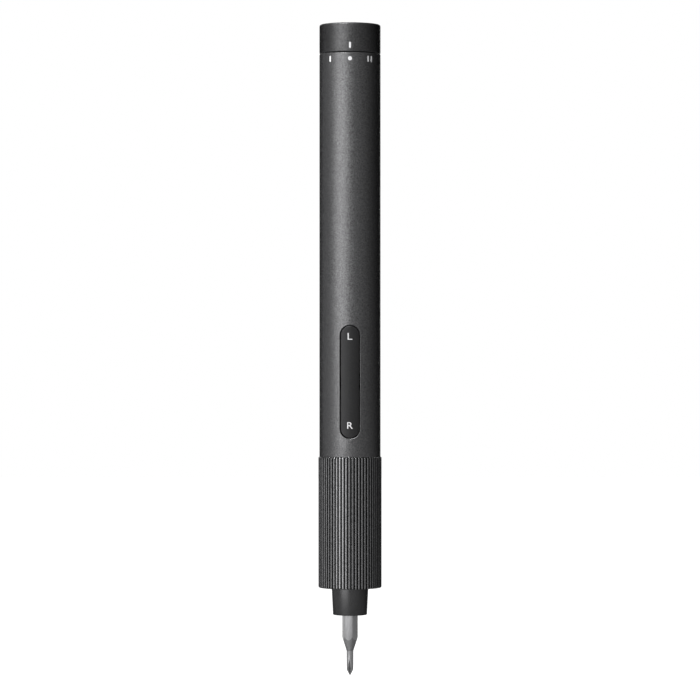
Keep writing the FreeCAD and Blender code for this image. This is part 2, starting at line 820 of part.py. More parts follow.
def make_motor(screw_holes):
    bore = shaft_radius + dims.running_gap
    cavity = motor_radius - dims.motor_can_wall
    boss = dims.motor_boss_diameter / 2
    boss_low = motor_low - dims.motor_boss_height
    front = motor_low + dims.motor_front_wall
    can = turned("motor_can_blank", (bore, boss_low), (boss, boss_low), (boss, motor_low),
                 (motor_radius, motor_low), (motor_radius, can_top), (cavity, can_top), (cavity, front),
                 (bore, front))
    piece(cut("motor_can", can, *screw_holes), "motor_can")
    spigot = can_top - dims.motor_end_spigot
    bearing = can_top + dims.motor_end_cap / 2
    piece(turned("motor_end_cap", (bore, spigot), (cavity - dims.fixed_gap, spigot),
                 (cavity - dims.fixed_gap, can_top), (motor_radius, can_top), (motor_radius, motor_top),
                 (0, motor_top), (0, bearing), (bore, bearing)), "motor_end_cap")
    shaft_low = input_low + dims.end_gap / 2
    shaft_high = bearing - dims.end_gap / 2
    piece(bar("motor_shaft", shaft_radius, shaft_low, shaft_high), "motor_shaft")
    piece(gear("motor_pinion", dims.sun_tooth_count, shaft_low, input_high, shaft_radius + dims.fixed_gap),
          "motor_pinion")
    rotor_radius = dims.rotor_diameter / 2
    rotor_low = front + dims.rotor_margin / 2
    rotor_high = spigot - dims.rotor_margin
    rotor = ring("motor_rotor", shaft_radius + dims.fixed_gap, rotor_radius, rotor_low, rotor_high)
    slot = new_sketch(rotor, "rotor_slot", "XY_Plane", rotor_low - dims.cut_overrun)
    hub = shaft_radius + dims.fixed_gap + dims.rotor_hub_wall
    half = dims.rotor_slot / 2
    past_rim = rotor_radius + dims.cut_overrun
    outline(slot, [(hub, -half), (past_rim, -half), (past_rim, half), (hub, half)])
    pocket = rotor.newObject("PartDesign::Pocket", "rotor_slot_cut")
    pocket.Profile = slot
    pocket.Reversed = True
    bind(pocket, Length=rotor_high - rotor_low + dims.cut_overrun * 2)
    pattern = rotor.newObject("PartDesign::PolarPattern", "rotor_poles")
    pattern.Originals = [pocket]
    pattern.Axis = (slot, ["N_Axis"])
    pattern.Angle = FULL_TURN
    bind(pattern, Occurrences=dims.rotor_pole_count)
    rotor.Tip = pattern
    piece(rotor, "motor_rotor")
    magnets = ring("pole_ring", rotor_radius + dims.pole_gap, cavity - dims.fixed_gap, rotor_low, rotor_high)
    parting = block("pole_parting", either_side(dims.pole_slot / 2), either_side(motor_radius),
                    (rotor_low - dims.cut_overrun, rotor_high + dims.cut_overrun))
    piece(cut("motor_magnets", magnets, parting), "motor_magnets")
    tabs = []
    for side, x in zip(("left", "right"), either_side(dims.motor_tab_spacing / 2)):
        width = (x - dims.motor_tab_width / 2, x + dims.motor_tab_width / 2)
        depth = (board_back, board_back + dims.motor_tab_thickness)
        tabs.append(block(f"motor_tab_{side}", width, depth, (motor_top, board_low + dims.motor_tab_lap)))
    piece(group("motor_tabs", *tabs), "motor_tabs")


def make_bit():
    corner = dims.bit_flats / 2 * HEX_CORNER_SHARE
    neck = dims.bit_neck_diameter / 2
    neck_high = bit_tip + dims.bit_neck_length
    edge = dims.bit_top_edge
    shank = hexagon("bit_shank", dims.bit_flats, bit_tip, bit_top)
    form = turned("bit_form", (0, bit_tip), (dims.bit_tip_flat / 2, bit_tip),
                  (neck, bit_tip + dims.bit_tip_length), (neck, neck_high),
                  (corner, neck_high + dims.bit_cone_length), (corner, bit_top - edge),
                  (corner - edge, bit_top), (0, bit_top))
    blank = doc.addObject("Part::Common", "bit_blank")
    blank.Base = shank
    blank.Tool = form
    half = dims.flute_width.value / 2
    run_out = V(neck.value + dims.flute_root.value, 0, dims.flute_length.value)
    low = V(dims.flute_root.value, 0, 0)
    slope = run_out - low
    start = low - slope
    corners = [start, start + V(half, half, 0), start + V(half, -half, 0)]
    wedge = Part.Face(Part.makePolygon(corners + corners[:1])).extrude(slope * (1 + len(corners)))
    count = int(dims.flute_count.value)
    flutes = []
    for index in range(count):
        turn = FULL_TURN / count * index + FRONT_ANGLE + dims.bit_turn_angle.value
        flutes.append(wedge.rotated(V(0, 0, 0), Z_AXIS, turn))
    feature = doc.addObject("Part::Feature", "bit_flutes")
    feature.Shape = Part.makeCompound(flutes)
    feature.Placement = FreeCAD.Placement(V(0, 0, bit_tip.value), FreeCAD.Rotation())
    piece(cut("driver_bit", blank, feature), "driver_bit")


def make_rocker():
    length = dims.slot_length - dims.button_gap * 2
    width = dims.slot_width - dims.button_gap * 2
    plate = padded("rocker_plate", "XZ_Plane", lambda sketch: round_ended(sketch, length, width, pivot_z),
                   barrel_radius + dims.cut_overrun)
    reach = (dims.button_offset - dims.cut_overrun, slot_high + dims.cut_overrun)
    crown = bar("rocker_crown", crown_radius, *reach)
    hollow = bar("rocker_hollow", hollow_radius, *reach)
    skin = cut("rocker_skin", crown, hollow)
    face = doc.addObject("Part::Common", "rocker_face")
    face.Base = plate
    face.Tool = skin
    doc.recompute()
    rounded = doc.addObject("Part::Fillet", "rocker_rounded")
    rounded.Base = face
    edge = dims.button_edge.value
    rounded.Edges = [(number, edge, edge) for number in edges_on(face.Shape, crown_radius, *reach)]
    root_y = -(hollow_radius + dims.button_thickness / 2)
    lug = block("rocker_lug", either_side(dims.lug_width / 2), (root_y, pivot_y + dims.pivot_rim),
                (pivot_z - dims.pivot_rim, pivot_z + dims.pivot_rim))
    feet = []
    for side, offset in zip(("right", "left"), either_side(dims.switch_spacing / 2)):
        z = pivot_z + offset
        half = dims.foot_length / 2
        feet.append(block(f"rocker_foot_{side}", either_side(dims.foot_width / 2), (root_y, foot_tip - half),
                          (z - half, z + half)))
        feet.append(bar_along_x(f"rocker_dome_{side}", half, dims.foot_width / 2, foot_tip - half, z))
    blank = fuse("rocker_blank", rounded, lug, *feet)
    hole = bar_along_x("rocker_hole", dims.pivot_diameter / 2 + dims.running_gap, dims.slot_width / 2,
                       pivot_y, pivot_z)
    piece(cut("rocker_button", blank, hole), "rocker_button")
    ear_low = dims.lug_width / 2 + dims.ear_gap
    ear_high = ear_low + dims.ear_width
    piece(bar_along_x("rocker_pin", dims.pivot_diameter / 2, ear_high, pivot_y, pivot_z), "rocker_pin")
    base_half = dims.bracket_length / 2
    base = block("bracket_base", either_side(ear_high), (board_front - dims.bracket_base, board_front),
                 (pivot_z - base_half, pivot_z + base_half))
    ears = []
    for side, x in (("left", (-ear_high, -ear_low)), ("right", (ear_low, ear_high))):
        ears.append(block(f"bracket_ear_{side}", x, (pivot_y, board_front - dims.bracket_base / 2),
                          (pivot_z - dims.pivot_rim, pivot_z + dims.pivot_rim)))
    rim = bar_along_x("bracket_rim", dims.pivot_rim, ear_high, pivot_y, pivot_z)
    between = block("bracket_between", either_side(ear_low),
                    (pivot_y - dims.cut_overrun, board_front - dims.bracket_base),
                    (pivot_z - base_half, pivot_z + base_half))
    pin_hole = bar_along_x("bracket_hole", dims.pivot_diameter / 2 + dims.fixed_gap,
                           ear_high + dims.cut_overrun, pivot_y, pivot_z)
    piece(cut("rocker_bracket", fuse("bracket_blank", base, rim, *ears), between, pin_hole), "rocker_bracket")


def make_switches():
    half = dims.switch_side / 2
    for side, offset in zip(("right", "left"), either_side(dims.switch_spacing / 2)):
        z = pivot_z + offset
        case = block(f"{side}_switch_case", either_side(half), (switch_top, board_front),
                     (z - half, z + half))
        well = bar_along_y(f"{side}_switch_well", dims.plunger_diameter / 2 + dims.running_gap,
                           switch_top - dims.cut_overrun, board_front - dims.switch_floor, 0, z)
        piece(cut(f"{side}_switch", case, well), f"{side}_switch")
        piece(bar_along_y(f"{side}_plunger", dims.plunger_diameter / 2, plunger_tip, plunger_tail, 0, z),
              f"{side}_plunger")


def make_control_board():
    screw_z = board_high - dims.board_screw_inset
    head_top = board_front - dims.board_screw_head_height
    tip = board_back + dims.board_screw_length
    holes, screws = [], []
    for side, x in zip(("left", "right"), either_side(dims.board_screw_spacing / 2)):
        radius = dims.board_screw_diameter / 2
        holes.append(bar_along_y(f"board_hole_{side}", radius + dims.fixed_gap, head_top, tip, x, screw_z))
        head = bar_along_y(f"board_head_{side}", dims.board_screw_head / 2, head_top, board_front, x, screw_z)
        shank = bar_along_y(f"board_shank_{side}", radius, head_top, tip, x, screw_z)
        screws.append(fuse(f"board_screw_{side}", head, shank))
    panel = block("board_panel", either_side(dims.board_width / 2), (board_front, board_back),
                  (board_low, board_high))
    piece(cut("control_board", panel, *holes), "control_board")
    piece(group("board_screws", *screws), "board_screws")
    half = dims.chip_side / 2
    chips = []
    for side, offset in zip(("low", "high"), either_side(dims.chip_offset)):
        z = pivot_z + offset
        chips.append(block(f"board_chip_{side}", either_side(half),
                           (board_front - dims.chip_height, board_front), (z - half, z + half)))
    piece(group("board_chips", *chips), "board_chips")
    return holes


def make_chassis(board_screw_holes, end_screw_holes):
    shell = bar("chassis_shell", chassis_radius, chassis_low, tail_low)
    front = block("chassis_front", either_side(chassis_radius), (-barrel_radius, board_back),
                  (chassis_low - dims.cut_overrun, tail_bay_high))
    board_bay = block("chassis_board_bay", either_side(dims.board_bay_width / 2),
                      (board_back - dims.cut_overrun, board_back + dims.board_bay_depth),
                      (chassis_low - dims.cut_overrun, board_bay_high))
    cradle_radius = battery_radius + dims.battery_gap
    cradle = bar("chassis_cradle", cradle_radius, battery_bay_low, battery_bay_high)
    cradle_mouth = block("chassis_cradle_mouth", either_side(cradle_radius),
                         (board_back - dims.cut_overrun, 0), (battery_bay_low, battery_bay_high))
    relief_pitch = (battery_bay_high - battery_bay_low) / dims.chassis_relief_count
    reliefs = []
    for index in range(int(dims.chassis_relief_count.value)):
        low = battery_bay_low + relief_pitch * index + dims.chassis_rib / 2
        reliefs.append(ring(f"chassis_relief_{index + 1}", chassis_radius - dims.chassis_relief,
                            chassis_radius + dims.cut_overrun, low, low + relief_pitch - dims.chassis_rib))
    tail_bay = bar("chassis_tail_bay", cradle_radius, tail_bay_low, tail_bay_high)
    tail_mouth = block("chassis_tail_mouth", either_side(cradle_radius), (board_back - dims.cut_overrun, 0),
                       (tail_bay_low, tail_bay_high))
    channel_half = dims.tab_channel_width / 2
    low_channel = block("chassis_low_channel", either_side(channel_half),
                        (board_back - dims.cut_overrun, board_back + dims.tab_channel_depth),
                        (board_bay_high - dims.cut_overrun, battery_bay_low + dims.cut_overrun))
    tail_face = dims.board_thickness / 2
    high_channel = block("chassis_high_channel", either_side(channel_half),
                         (tail_face - dims.fixed_gap, tail_face + dims.tab_channel_depth),
                         (battery_bay_high - dims.cut_overrun, tail_bay_low + dims.cut_overrun))
    board_slot = block("chassis_board_slot", either_side(dims.tail_board_width / 2 + dims.running_gap),
                       either_side(tail_face + dims.running_gap),
                       (tail_bay_high - dims.cut_overrun, tail_low + dims.cut_overrun))
    piece(cut("chassis", shell, front, board_bay, cradle, cradle_mouth, tail_bay, tail_mouth, low_channel,
              high_channel, board_slot, *reliefs, *board_screw_holes, *end_screw_holes), "chassis")


def make_battery():
    nub = dims.battery_nub_diameter / 2
    shoulder = battery_high - dims.battery_nub_height
    edge = dims.battery_edge
    piece(turned("battery_cell", (0, battery_low), (battery_radius - edge, battery_low),
                 (battery_radius, battery_low + edge), (battery_radius, shoulder - edge),
                 (battery_radius - edge, shoulder), (nub, shoulder), (nub, battery_high), (0, battery_high)),
          "battery_cell")
    half = dims.tab_width / 2
    reach = dims.tab_reach
    low_pad = block("low_tab_pad", either_side(half), (board_back, reach), (battery_bay_low, battery_low))
    low_tongue = block("low_tab_tongue", either_side(half), (board_back, board_back + dims.tab_thickness),
                       (board_high - dims.tab_lap, battery_low))
    tail_face = dims.board_thickness / 2
    high_pad = block("high_tab_pad", either_side(half), either_side(reach), (battery_high, battery_bay_high))
    high_tongue = block("high_tab_tongue", either_side(half), (tail_face, tail_face + dims.tab_thickness),
                        (battery_high, tail_bay_low + dims.tail_board_lead + dims.tab_lap))
    low_tab = fuse("low_tab", low_pad, low_tongue)
    high_tab = fuse("high_tab", high_pad, high_tongue)
    piece(group("battery_tabs", low_tab, high_tab), "battery_tabs")


def make_ribbon():
    thick = dims.ribbon_thickness
    outer = -(battery_radius + dims.ribbon_clearance)
    tail_face = -dims.board_thickness / 2
    rise_low = board_high + dims.end_gap
    rise_high = rise_low + dims.ribbon_rise
    tail_start = tail_bay_low + dims.tail_board_lead
    path = [(board_front, board_high - dims.ribbon_lap), (board_front, rise_low), (outer, rise_high),
            (outer, tail_bay_low - dims.chassis_web), (tail_face, tail_start),
            (tail_face, tail_start + dims.ribbon_lap)]
    back = [(y - thick, z) for y, z in path]
    piece(padded("board_ribbon", "YZ_Plane", lambda sketch: outline(sketch, path + back[::-1]),
                 dims.ribbon_width, symmetric=True), "board_ribbon")


def make_tail_board():
    half = dims.board_thickness / 2
    low = tail_bay_low + dims.tail_board_lead
    piece(block("tail_board", either_side(dims.tail_board_width / 2), either_side(half), (low, port_low)),
          "tail_board")
    side = dims.tail_chip_side / 2
    top_chip = tail_bay_high - dims.end_gap - side
    chips = []
    for name, z in (("high", top_chip), ("low", top_chip - dims.tail_chip_spacing)):
        chips.append(block(f"tail_chip_{name}", either_side(side), (-half - dims.chip_height, -half),
                           (z - side, z + side)))
    piece(group("tail_chips", *chips), "tail_chips")


def make_port():
    shell = padded("usb_shell", "XY_Plane",
                   lambda sketch: round_ended(sketch, dims.port_width, dims.port_height, upright=False),
                   dims.port_length, port_low)
    inner_width = dims.port_width - dims.port_wall * 2
    inner_height = dims.port_height - dims.port_wall * 2
    opening = new_sketch(shell, "usb_opening", "XY_Plane", port_low)
    round_ended(opening, inner_width, inner_height, upright=False)
    pocket = shell.newObject("PartDesign::Pocket", "usb_opening_cut")
    pocket.Profile = opening
    pocket.Reversed = True
    bind(pocket, Length=dims.port_length + dims.cut_overrun)
    piece(shell, "usb_shell")
    gap = dims.fixed_gap * 2
    back = padded("usb_back", "XY_Plane",
                  lambda sketch: round_ended(sketch, inner_width - gap, inner_height - gap, upright=False),
                  dims.port_back, port_low)
    tongue = block("usb_blade", either_side(dims.tongue_width / 2), either_side(dims.tongue_thickness / 2),
                   (port_low, port_high - dims.tongue_setback))
    piece(fuse("usb_tongue", back, tongue), "usb_tongue")


def port_channel(name, low, high):
    """The round-ended channel that the port's shell stands in."""
    width = dims.port_width + dims.port_gap * 2
    height = dims.port_height + dims.port_gap * 2
    return padded(name, "XY_Plane", lambda sketch: round_ended(sketch, width, height, upright=False),
                  high - low, low)


def make_tail_plug():
    """Makes the plug with its screws, and gives the screw holes."""
    seal_radius = dims.ring_seal_thickness / 2
    seal_z = cover_low - dims.ring_seal_drop
    groove = stem_radius - dims.ring_seal_thickness - dims.running_gap
    groove_half = seal_radius + dims.running_gap
    flange = barrel_bore - dims.running_gap
    blank = turned("tail_plug_blank", (0, tail_low), (flange, tail_low), (flange, dims.barrel_length),
                   (stem_radius, dims.barrel_length), (stem_radius, seal_z - groove_half),
                   (groove, seal_z - groove_half), (groove, seal_z + groove_half),
                   (stem_radius, seal_z + groove_half), (stem_radius, cover_low), (0, cover_low))
    channel = port_channel("tail_plug_channel", tail_low - dims.cut_overrun, cover_low + dims.cut_overrun)
    head_low = cover_low - dims.end_gap - dims.chassis_screw_head_height
    head_high = cover_low - dims.end_gap
    tip = tail_bay_high - dims.chassis_end / 2
    radius = dims.chassis_screw_diameter / 2
    head_radius = dims.chassis_screw_head / 2
    sinks, holes, screws = [], [], []
    for side, y in zip(("front", "back"), either_side(dims.chassis_screw_spacing / 2)):
        sinks.append(bar(f"plug_sink_{side}", head_radius + dims.running_gap, head_low,
                         cover_low + dims.cut_overrun, 0, y))
        holes.append(bar(f"plug_hole_{side}", radius + dims.fixed_gap, tip, head_low + dims.end_gap, 0, y))
        head = bar(f"chassis_head_{side}", head_radius, head_low, head_high, 0, y)
        shank = bar(f"chassis_shank_{side}", radius, tip, head_high, 0, y)
        screws.append(fuse(f"chassis_screw_{side}", head, shank))
    piece(cut("tail_plug", blank, channel, *sinks, *holes), "tail_plug")
    piece(group("chassis_screws", *screws), "chassis_screws")
    seal = doc.addObject("Part::Torus", "selector_o_ring")
    bind(seal, Radius1=stem_radius - seal_radius, Radius2=seal_radius)
    place(seal, z=seal_z)
    piece(seal, "selector_o_ring")
    disc = bar("port_cover_disc", dims.cover_diameter / 2, cover_low, cover_high)
    opening = port_channel("port_cover_opening", cover_low - dims.cut_overrun, cover_high + dims.cut_overrun)
    piece(cut("port_plate", disc, opening), "port_plate")
    return holes


def make_selector():
    bore = stem_radius + dims.running_gap
    cavity = barrel_radius - dims.cavity_wall
    ceiling = selector_low + dims.cavity_height
    seat = cover_low - dims.cover_play
    cover_hole = dims.cover_diameter / 2 + dims.cover_gap
    body = turned("selector_blank", (cavity, selector_low), (barrel_radius, selector_low),
                  (barrel_radius, selector_high), (cover_hole, selector_high), (cover_hole, seat),
                  (bore, seat), (bore, ceiling), (cavity, ceiling))
    dress_edges(body, "Fillet", dims.selector_edge, barrel_radius, selector_high, selector_high)
    dress_edges(body, "Chamfer", dims.barrel_edge, barrel_radius, selector_low, selector_low)
    board_low_z = dims.barrel_length
    board_high_z = board_low_z + dims.sensor_board_thickness
    track = (stem_radius + cavity) / 2
    magnet_radius = dims.selector_magnet_diameter / 2
    magnet_high = ceiling + dims.selector_magnet_depth
    magnet_low = magnet_high - dims.selector_magnet_length
    pocket = bar("selector_magnet_pocket", magnet_radius + dims.fixed_gap, ceiling - dims.end_gap,
                 magnet_high, 0, -track)
    piece(cut("selector_ring", body, pocket), "selector_ring")
    piece(bar("selector_magnet", magnet_radius, magnet_low, magnet_high, 0, -track), "selector_magnet")
    piece(ring("selector_board", stem_radius + dims.running_gap, cavity - dims.sensor_board_gap, board_low_z,
               board_high_z), "selector_board")
    sensors = []
    half = dims.sensor_side / 2
    for index, name in enumerate(("low", "off", "high")):
        sensor = block(f"sensor_{name}", either_side(half), (-track - half, -track + half),
                       (board_high_z, board_high_z + dims.sensor_height))
        turn = dims.selector_step_angle * (index - 1)
        holder = group(f"sensor_seat_{name}", sensor)
        place(holder, rotation=FreeCAD.Rotation(Z_AXIS, turn.value))
        holder.setExpression("Placement.Rotation.Angle", turn.text)
        sensors.append(holder)
    piece(group("hall_sensors", *sensors), "hall_sensors")


def write_pieces():
    """Checks every object and writes each piece to its file."""
    doc.recompute()
    for thing in doc.Objects:
        if {"Invalid", "Error"} & set(thing.State):
            raise RuntimeError(f"{thing.Label} failed: {thing.State}")
    for thing in pieces:
        if thing.Shape.isNull() or not thing.Shape.isValid() or not thing.Shape.Solids:
            raise RuntimeError(f"{thing.Label} has no valid solid")
    os.makedirs("parts", exist_ok=True)
    for thing in pieces:
        thing.Shape.exportStep(f"parts/{thing.Label}.step")
        box = thing.Shape.BoundBox
        print(f"{thing.Label}: {len(thing.Shape.Solids)} solid, {thing.Shape.Volume:.1f} mm3,"
              f" z {box.ZMin:.2f} to {box.ZMax:.2f}")


make_barrel()
make_grip()
make_nose()
make_spindle()
make_front_plate()
make_gear_case()
planets("output_planet", output_low, output_high)
make_stage_carrier()
planets("input_planet", input_low, input_high)
make_motor(make_motor_plate())
make_bit()
make_rocker()
make_switches()
make_chassis(make_control_board(), make_tail_plug())
make_battery()
make_ribbon()
make_tail_board()
make_port()
make_selector()
write_pieces()
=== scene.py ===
import json
import math

import bmesh
import bpy
from mathutils import Matrix, Vector


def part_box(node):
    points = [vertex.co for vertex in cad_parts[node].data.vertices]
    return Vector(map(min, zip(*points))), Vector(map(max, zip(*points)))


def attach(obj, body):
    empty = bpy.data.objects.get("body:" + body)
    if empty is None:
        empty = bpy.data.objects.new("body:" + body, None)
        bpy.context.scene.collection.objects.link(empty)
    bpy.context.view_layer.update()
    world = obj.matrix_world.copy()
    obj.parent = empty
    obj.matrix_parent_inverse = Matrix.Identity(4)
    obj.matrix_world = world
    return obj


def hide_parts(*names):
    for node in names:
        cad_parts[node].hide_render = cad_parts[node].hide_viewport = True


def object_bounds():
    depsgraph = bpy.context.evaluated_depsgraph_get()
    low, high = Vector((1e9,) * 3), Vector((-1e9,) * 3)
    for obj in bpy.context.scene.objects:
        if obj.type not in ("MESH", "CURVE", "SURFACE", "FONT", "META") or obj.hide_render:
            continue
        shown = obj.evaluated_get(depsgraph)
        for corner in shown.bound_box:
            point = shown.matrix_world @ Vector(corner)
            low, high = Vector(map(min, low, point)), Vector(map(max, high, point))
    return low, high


# Pen-shaped electric screwdriver, upright with its bit down, its tail up and its button towards -Y.
# Lengths are in metres: MM turns a size in millimetres into metres.

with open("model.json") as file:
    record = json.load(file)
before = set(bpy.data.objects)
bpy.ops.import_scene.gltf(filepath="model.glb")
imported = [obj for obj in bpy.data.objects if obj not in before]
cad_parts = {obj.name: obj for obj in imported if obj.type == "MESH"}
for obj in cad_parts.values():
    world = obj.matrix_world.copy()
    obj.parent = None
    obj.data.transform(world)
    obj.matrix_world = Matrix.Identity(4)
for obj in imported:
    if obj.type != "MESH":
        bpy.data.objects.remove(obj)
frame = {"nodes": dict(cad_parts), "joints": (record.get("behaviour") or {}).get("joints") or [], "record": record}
cad_low, cad_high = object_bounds()
record = frame["record"]

MM = 0.001
FULL_TURN = 2 * math.pi
QUARTER_TURN = FULL_TURN / 4
ROUND_STEPS = 256
ROUND_END_STEPS = 96
ROUND_PROFILE = 0.5
WELD = 0.0005 * MM
NEAR = 4 * WELD
EDGE_SKIN = 0.004 * MM
SHARP_ANGLE = math.radians(32)
MIDDLE_HEIGHT = (cad_low.z + cad_high.z) / 2

# Places and sizes that the frame gives
mounts = {mount["name"]: mount for mount in record["mounts"]}
joints = {joint["name"]: joint for joint in frame["joints"]}
BARREL_RADIUS = mounts["barrel"]["dims"]["r_mm"] * MM
barrel_low, barrel_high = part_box("barrel")
ring_low, ring_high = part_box("selector_ring")
grip_low, grip_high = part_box("grip_sleeve")
nose_low, nose_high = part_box("nose_cone")
bit_low, bit_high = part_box("driver_bit")
button_low, button_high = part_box("rocker_button")
cover_low, cover_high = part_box("port_plate")
shell_low, shell_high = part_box("usb_shell")
tongue_low, tongue_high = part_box("usb_tongue")
case_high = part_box("gear_case")[1]
plate_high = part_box("front_plate")[1]
bush_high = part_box("front_bush")[1]
PIVOT = Vector(joints["rocker_tilt"]["pos_m"])
SELECTOR_REACH = math.radians(joints["selector_turn"]["range_deg"][1])


# Shaping

def link(thing):
    """Puts an object into the scene."""
    bpy.context.scene.collection.objects.link(thing)
    return thing


def piece(name, shape, body, slot, finish, *nodes):
    """Turns a finished shape into a piece that rides on a body and stands for CAD nodes."""
    mesh = bpy.data.meshes.new(name)
    bmesh.ops.recalc_face_normals(shape, faces=shape.faces)
    shape.to_mesh(mesh)
    shape.free()
    mesh.shade_smooth()
    mesh.set_sharp_from_angle(angle=SHARP_ANGLE)
    mesh.materials.append(finish)
    thing = link(bpy.data.objects.new(name, mesh))
    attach(thing, body)
    if nodes:
        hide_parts(*nodes)


def turned(*points):
    """A closed profile of (radius, height) points, spun about the tool's axis."""
    shape = bmesh.new()
    corners = [shape.verts.new((radius, 0, height)) for radius, height in points]
    sides = [shape.edges.new((corners[index - 1], corner)) for index, corner in enumerate(corners)]
    bmesh.ops.spin(shape, geom=corners + sides, cent=(0, 0, 0), axis=(0, 0, 1), angle=FULL_TURN,
                   steps=ROUND_STEPS, use_merge=True)
    bmesh.ops.remove_doubles(shape, verts=shape.verts, dist=WELD)
    bmesh.ops.recalc_face_normals(shape, faces=shape.faces)
    return shape


def turn_round(shape, angle):
    """Turns a whole shape about the tool's axis."""
    bmesh.ops.rotate(shape, verts=shape.verts, cent=(0, 0, 0), matrix=Matrix.Rotation(angle, 3, "Z"))


def round_edges(shape, edges, width, segments=2):
    """Rounds the given edges by a width."""
    bmesh.ops.bevel(shape, geom=edges, offset=width, offset_type="OFFSET", segments=segments,
                    profile=ROUND_PROFILE, affect="EDGES", material=-1)


def round_rim(shape, radius, height, width, segments=4):
    """Rounds the edge that runs round the axis at one radius and height."""
    def on_rim(vert):
        off_radius = abs(math.hypot(vert.co.x, vert.co.y) - radius)
        return off_radius < NEAR and abs(vert.co.z - height) < NEAR

    rim = [edge for edge in shape.edges if all(on_rim(vert) for vert in edge.verts)]
    round_edges(shape, rim, width, segments)


def carved(shape, tool, operation="DIFFERENCE"):
    """One shape cut by another, or what both share."""
    things = []
    for part in (shape, tool):
        mesh = bpy.data.meshes.new("carving")
        part.to_mesh(mesh)
        part.free()
        things.append(link(bpy.data.objects.new("carving", mesh)))
    carving = things[0].modifiers.new("carving", "BOOLEAN")
    carving.operation = operation
    carving.solver = "EXACT"
    carving.object = things[1]
    graph = bpy.context.evaluated_depsgraph_get()
    result = bpy.data.meshes.new_from_object(things[0].evaluated_get(graph))
    made = bmesh.new()
    made.from_mesh(result)
    bpy.data.meshes.remove(result)
    for thing in things:
        mesh = thing.data
        bpy.data.objects.remove(thing)
        bpy.data.meshes.remove(mesh)
    bmesh.ops.remove_doubles(made, verts=made.verts, dist=WELD)
    return made


def grown(shape, loop, place):
    """Extrudes a loop of edges once, and puts each new vertex where place says."""
    made = bmesh.ops.extrude_edge_only(shape, edges=loop)["geom"]
    corners = {part for part in made if isinstance(part, bmesh.types.BMVert)}
    for corner in corners:
        corner.co = place(corner.co)
    around = {edge for corner in corners for edge in corner.link_edges}
    return [edge for edge in around if corners.issuperset(edge.verts)]


def round_ended(radius, reach, rings, closed=True, segments=ROUND_END_STEPS):
    """A bar or tube with half-round ends, a reach from the middle, from rings of (outset, depth)."""
    shape = bmesh.new()

    def placed(outset, depth):
        def place(spot):
            end = math.copysign(reach, spot.y)
            out = Vector((spot.x, spot.y - end)).normalized() * (radius + outset)
            return Vector((out.x, out.y + end, depth))
        return place

    def collapsed(spot):
        return Vector((0, math.copysign(reach, spot.y), spot.z))

    circle = bmesh.ops.create_circle(shape, segments=segments, radius=radius)["verts"]
    turn_round(shape, FULL_TURN / segments / 2)
    for corner in circle:
        corner.co.y += math.copysign(reach, corner.co.y)
        corner.co = placed(*rings[0])(corner.co)
    first = list(shape.edges)
    loop = first
    for ring in rings[1:]:
        loop = grown(shape, loop, placed(*ring))
    if closed:
        for end in (first, loop):
            grown(shape, end, collapsed)
    bmesh.ops.remove_doubles(shape, verts=shape.verts, dist=WELD)
    bmesh.ops.recalc_face_normals(shape, faces=shape.faces)
    return shape


def wrapped(shape, radius, height):
    """Lays a flat shape on the barrel's front: its x goes across, its y up and its z inwards."""
    for corner in shape.verts:
        across, up, depth = corner.co
        corner.co = (across, -math.sqrt((radius - depth) ** 2 - across ** 2), height + up)
    bmesh.ops.recalc_face_normals(shape, faces=shape.faces)
    return shape


def mark_faces(shape, name, value):
    """Gives every face a value of its own, which a finish can read."""
    bmesh.ops.recalc_face_normals(shape, faces=shape.faces)
    shape.normal_update()
    layer = shape.faces.layers.float.new(name)
    for face in shape.faces:
        face[layer] = value(face)


def face_radius(face):
    """How far a face's corners are from the tool's axis, on average."""
    return sum(corner.co.xy.length for corner in face.verts) / len(face.verts)


def mark_edges(shape, radius, width):
    """Marks the faces of rounded or chamfered edges, which lie just within a radius, for a painted highlight."""
    mark_faces(shape, "edge_highlight", lambda face: EDGE_SKIN < radius - face_radius(face) < width)


def block(shape, low, high, edge):
    """Adds a box between two corners, with its edges rounded."""
    low, high = Vector(low), Vector(high)
    made = bmesh.ops.create_cube(shape, size=1)["verts"]
    bmesh.ops.scale(shape, verts=made, vec=high - low)
    bmesh.ops.translate(shape, verts=made, vec=(low + high) / 2)
    round_edges(shape, list({side for corner in made for side in corner.link_edges}), edge)


# Finishes

GRAIN_DETAIL = 2
GRAIN_LOW = 0.3
GRAIN_HIGH = 0.7
COOL_SHARE = 1.02


def new_finish(name):
    """A new material, with its nodes, links and shader."""
    finish = bpy.data.materials.new(name)
    finish.use_nodes = True
    nodes = finish.node_tree.nodes
    return finish, nodes, finish.node_tree.links, nodes["Principled BSDF"]


def grain(nodes, links, size, stretch):
    """A fine grain of the given size, on the piece's own coordinates."""
    place = nodes.new("ShaderNodeTexCoord")
    mapping = nodes.new("ShaderNodeMapping")
    mapping.inputs["Scale"].default_value = [1 / (size * share) for share in stretch]
    speck = nodes.new("ShaderNodeTexNoise")
    speck.inputs["Scale"].default_value = 1
    speck.inputs["Detail"].default_value = GRAIN_DETAIL
    links.new(place.outputs["Object"], mapping.inputs["Vector"])
    links.new(mapping.outputs["Vector"], speck.inputs["Vector"])
    return speck.outputs["Fac"]


def spread(nodes, links, value, low, high):
    """Maps the middle of a grain to a range."""
    ranged = nodes.new("ShaderNodeMapRange")
    ranged.inputs["From Min"].default_value = GRAIN_LOW
    ranged.inputs["From Max"].default_value = GRAIN_HIGH
    ranged.inputs["To Min"].default_value = low
    ranged.inputs["To Max"].default_value = high
    links.new(value, ranged.inputs["Value"])
    return ranged.outputs["Result"]


def tinted(nodes, links, value, dark, light):
    """Mixes two colours by a grain."""
    mix = nodes.new("ShaderNodeMix")
    mix.data_type = "RGBA"
    mix.inputs["A"].default_value = (*dark, 1)
    mix.inputs["B"].default_value = (*light, 1)
    links.new(value, mix.inputs["Factor"])
    return mix.outputs["Result"]


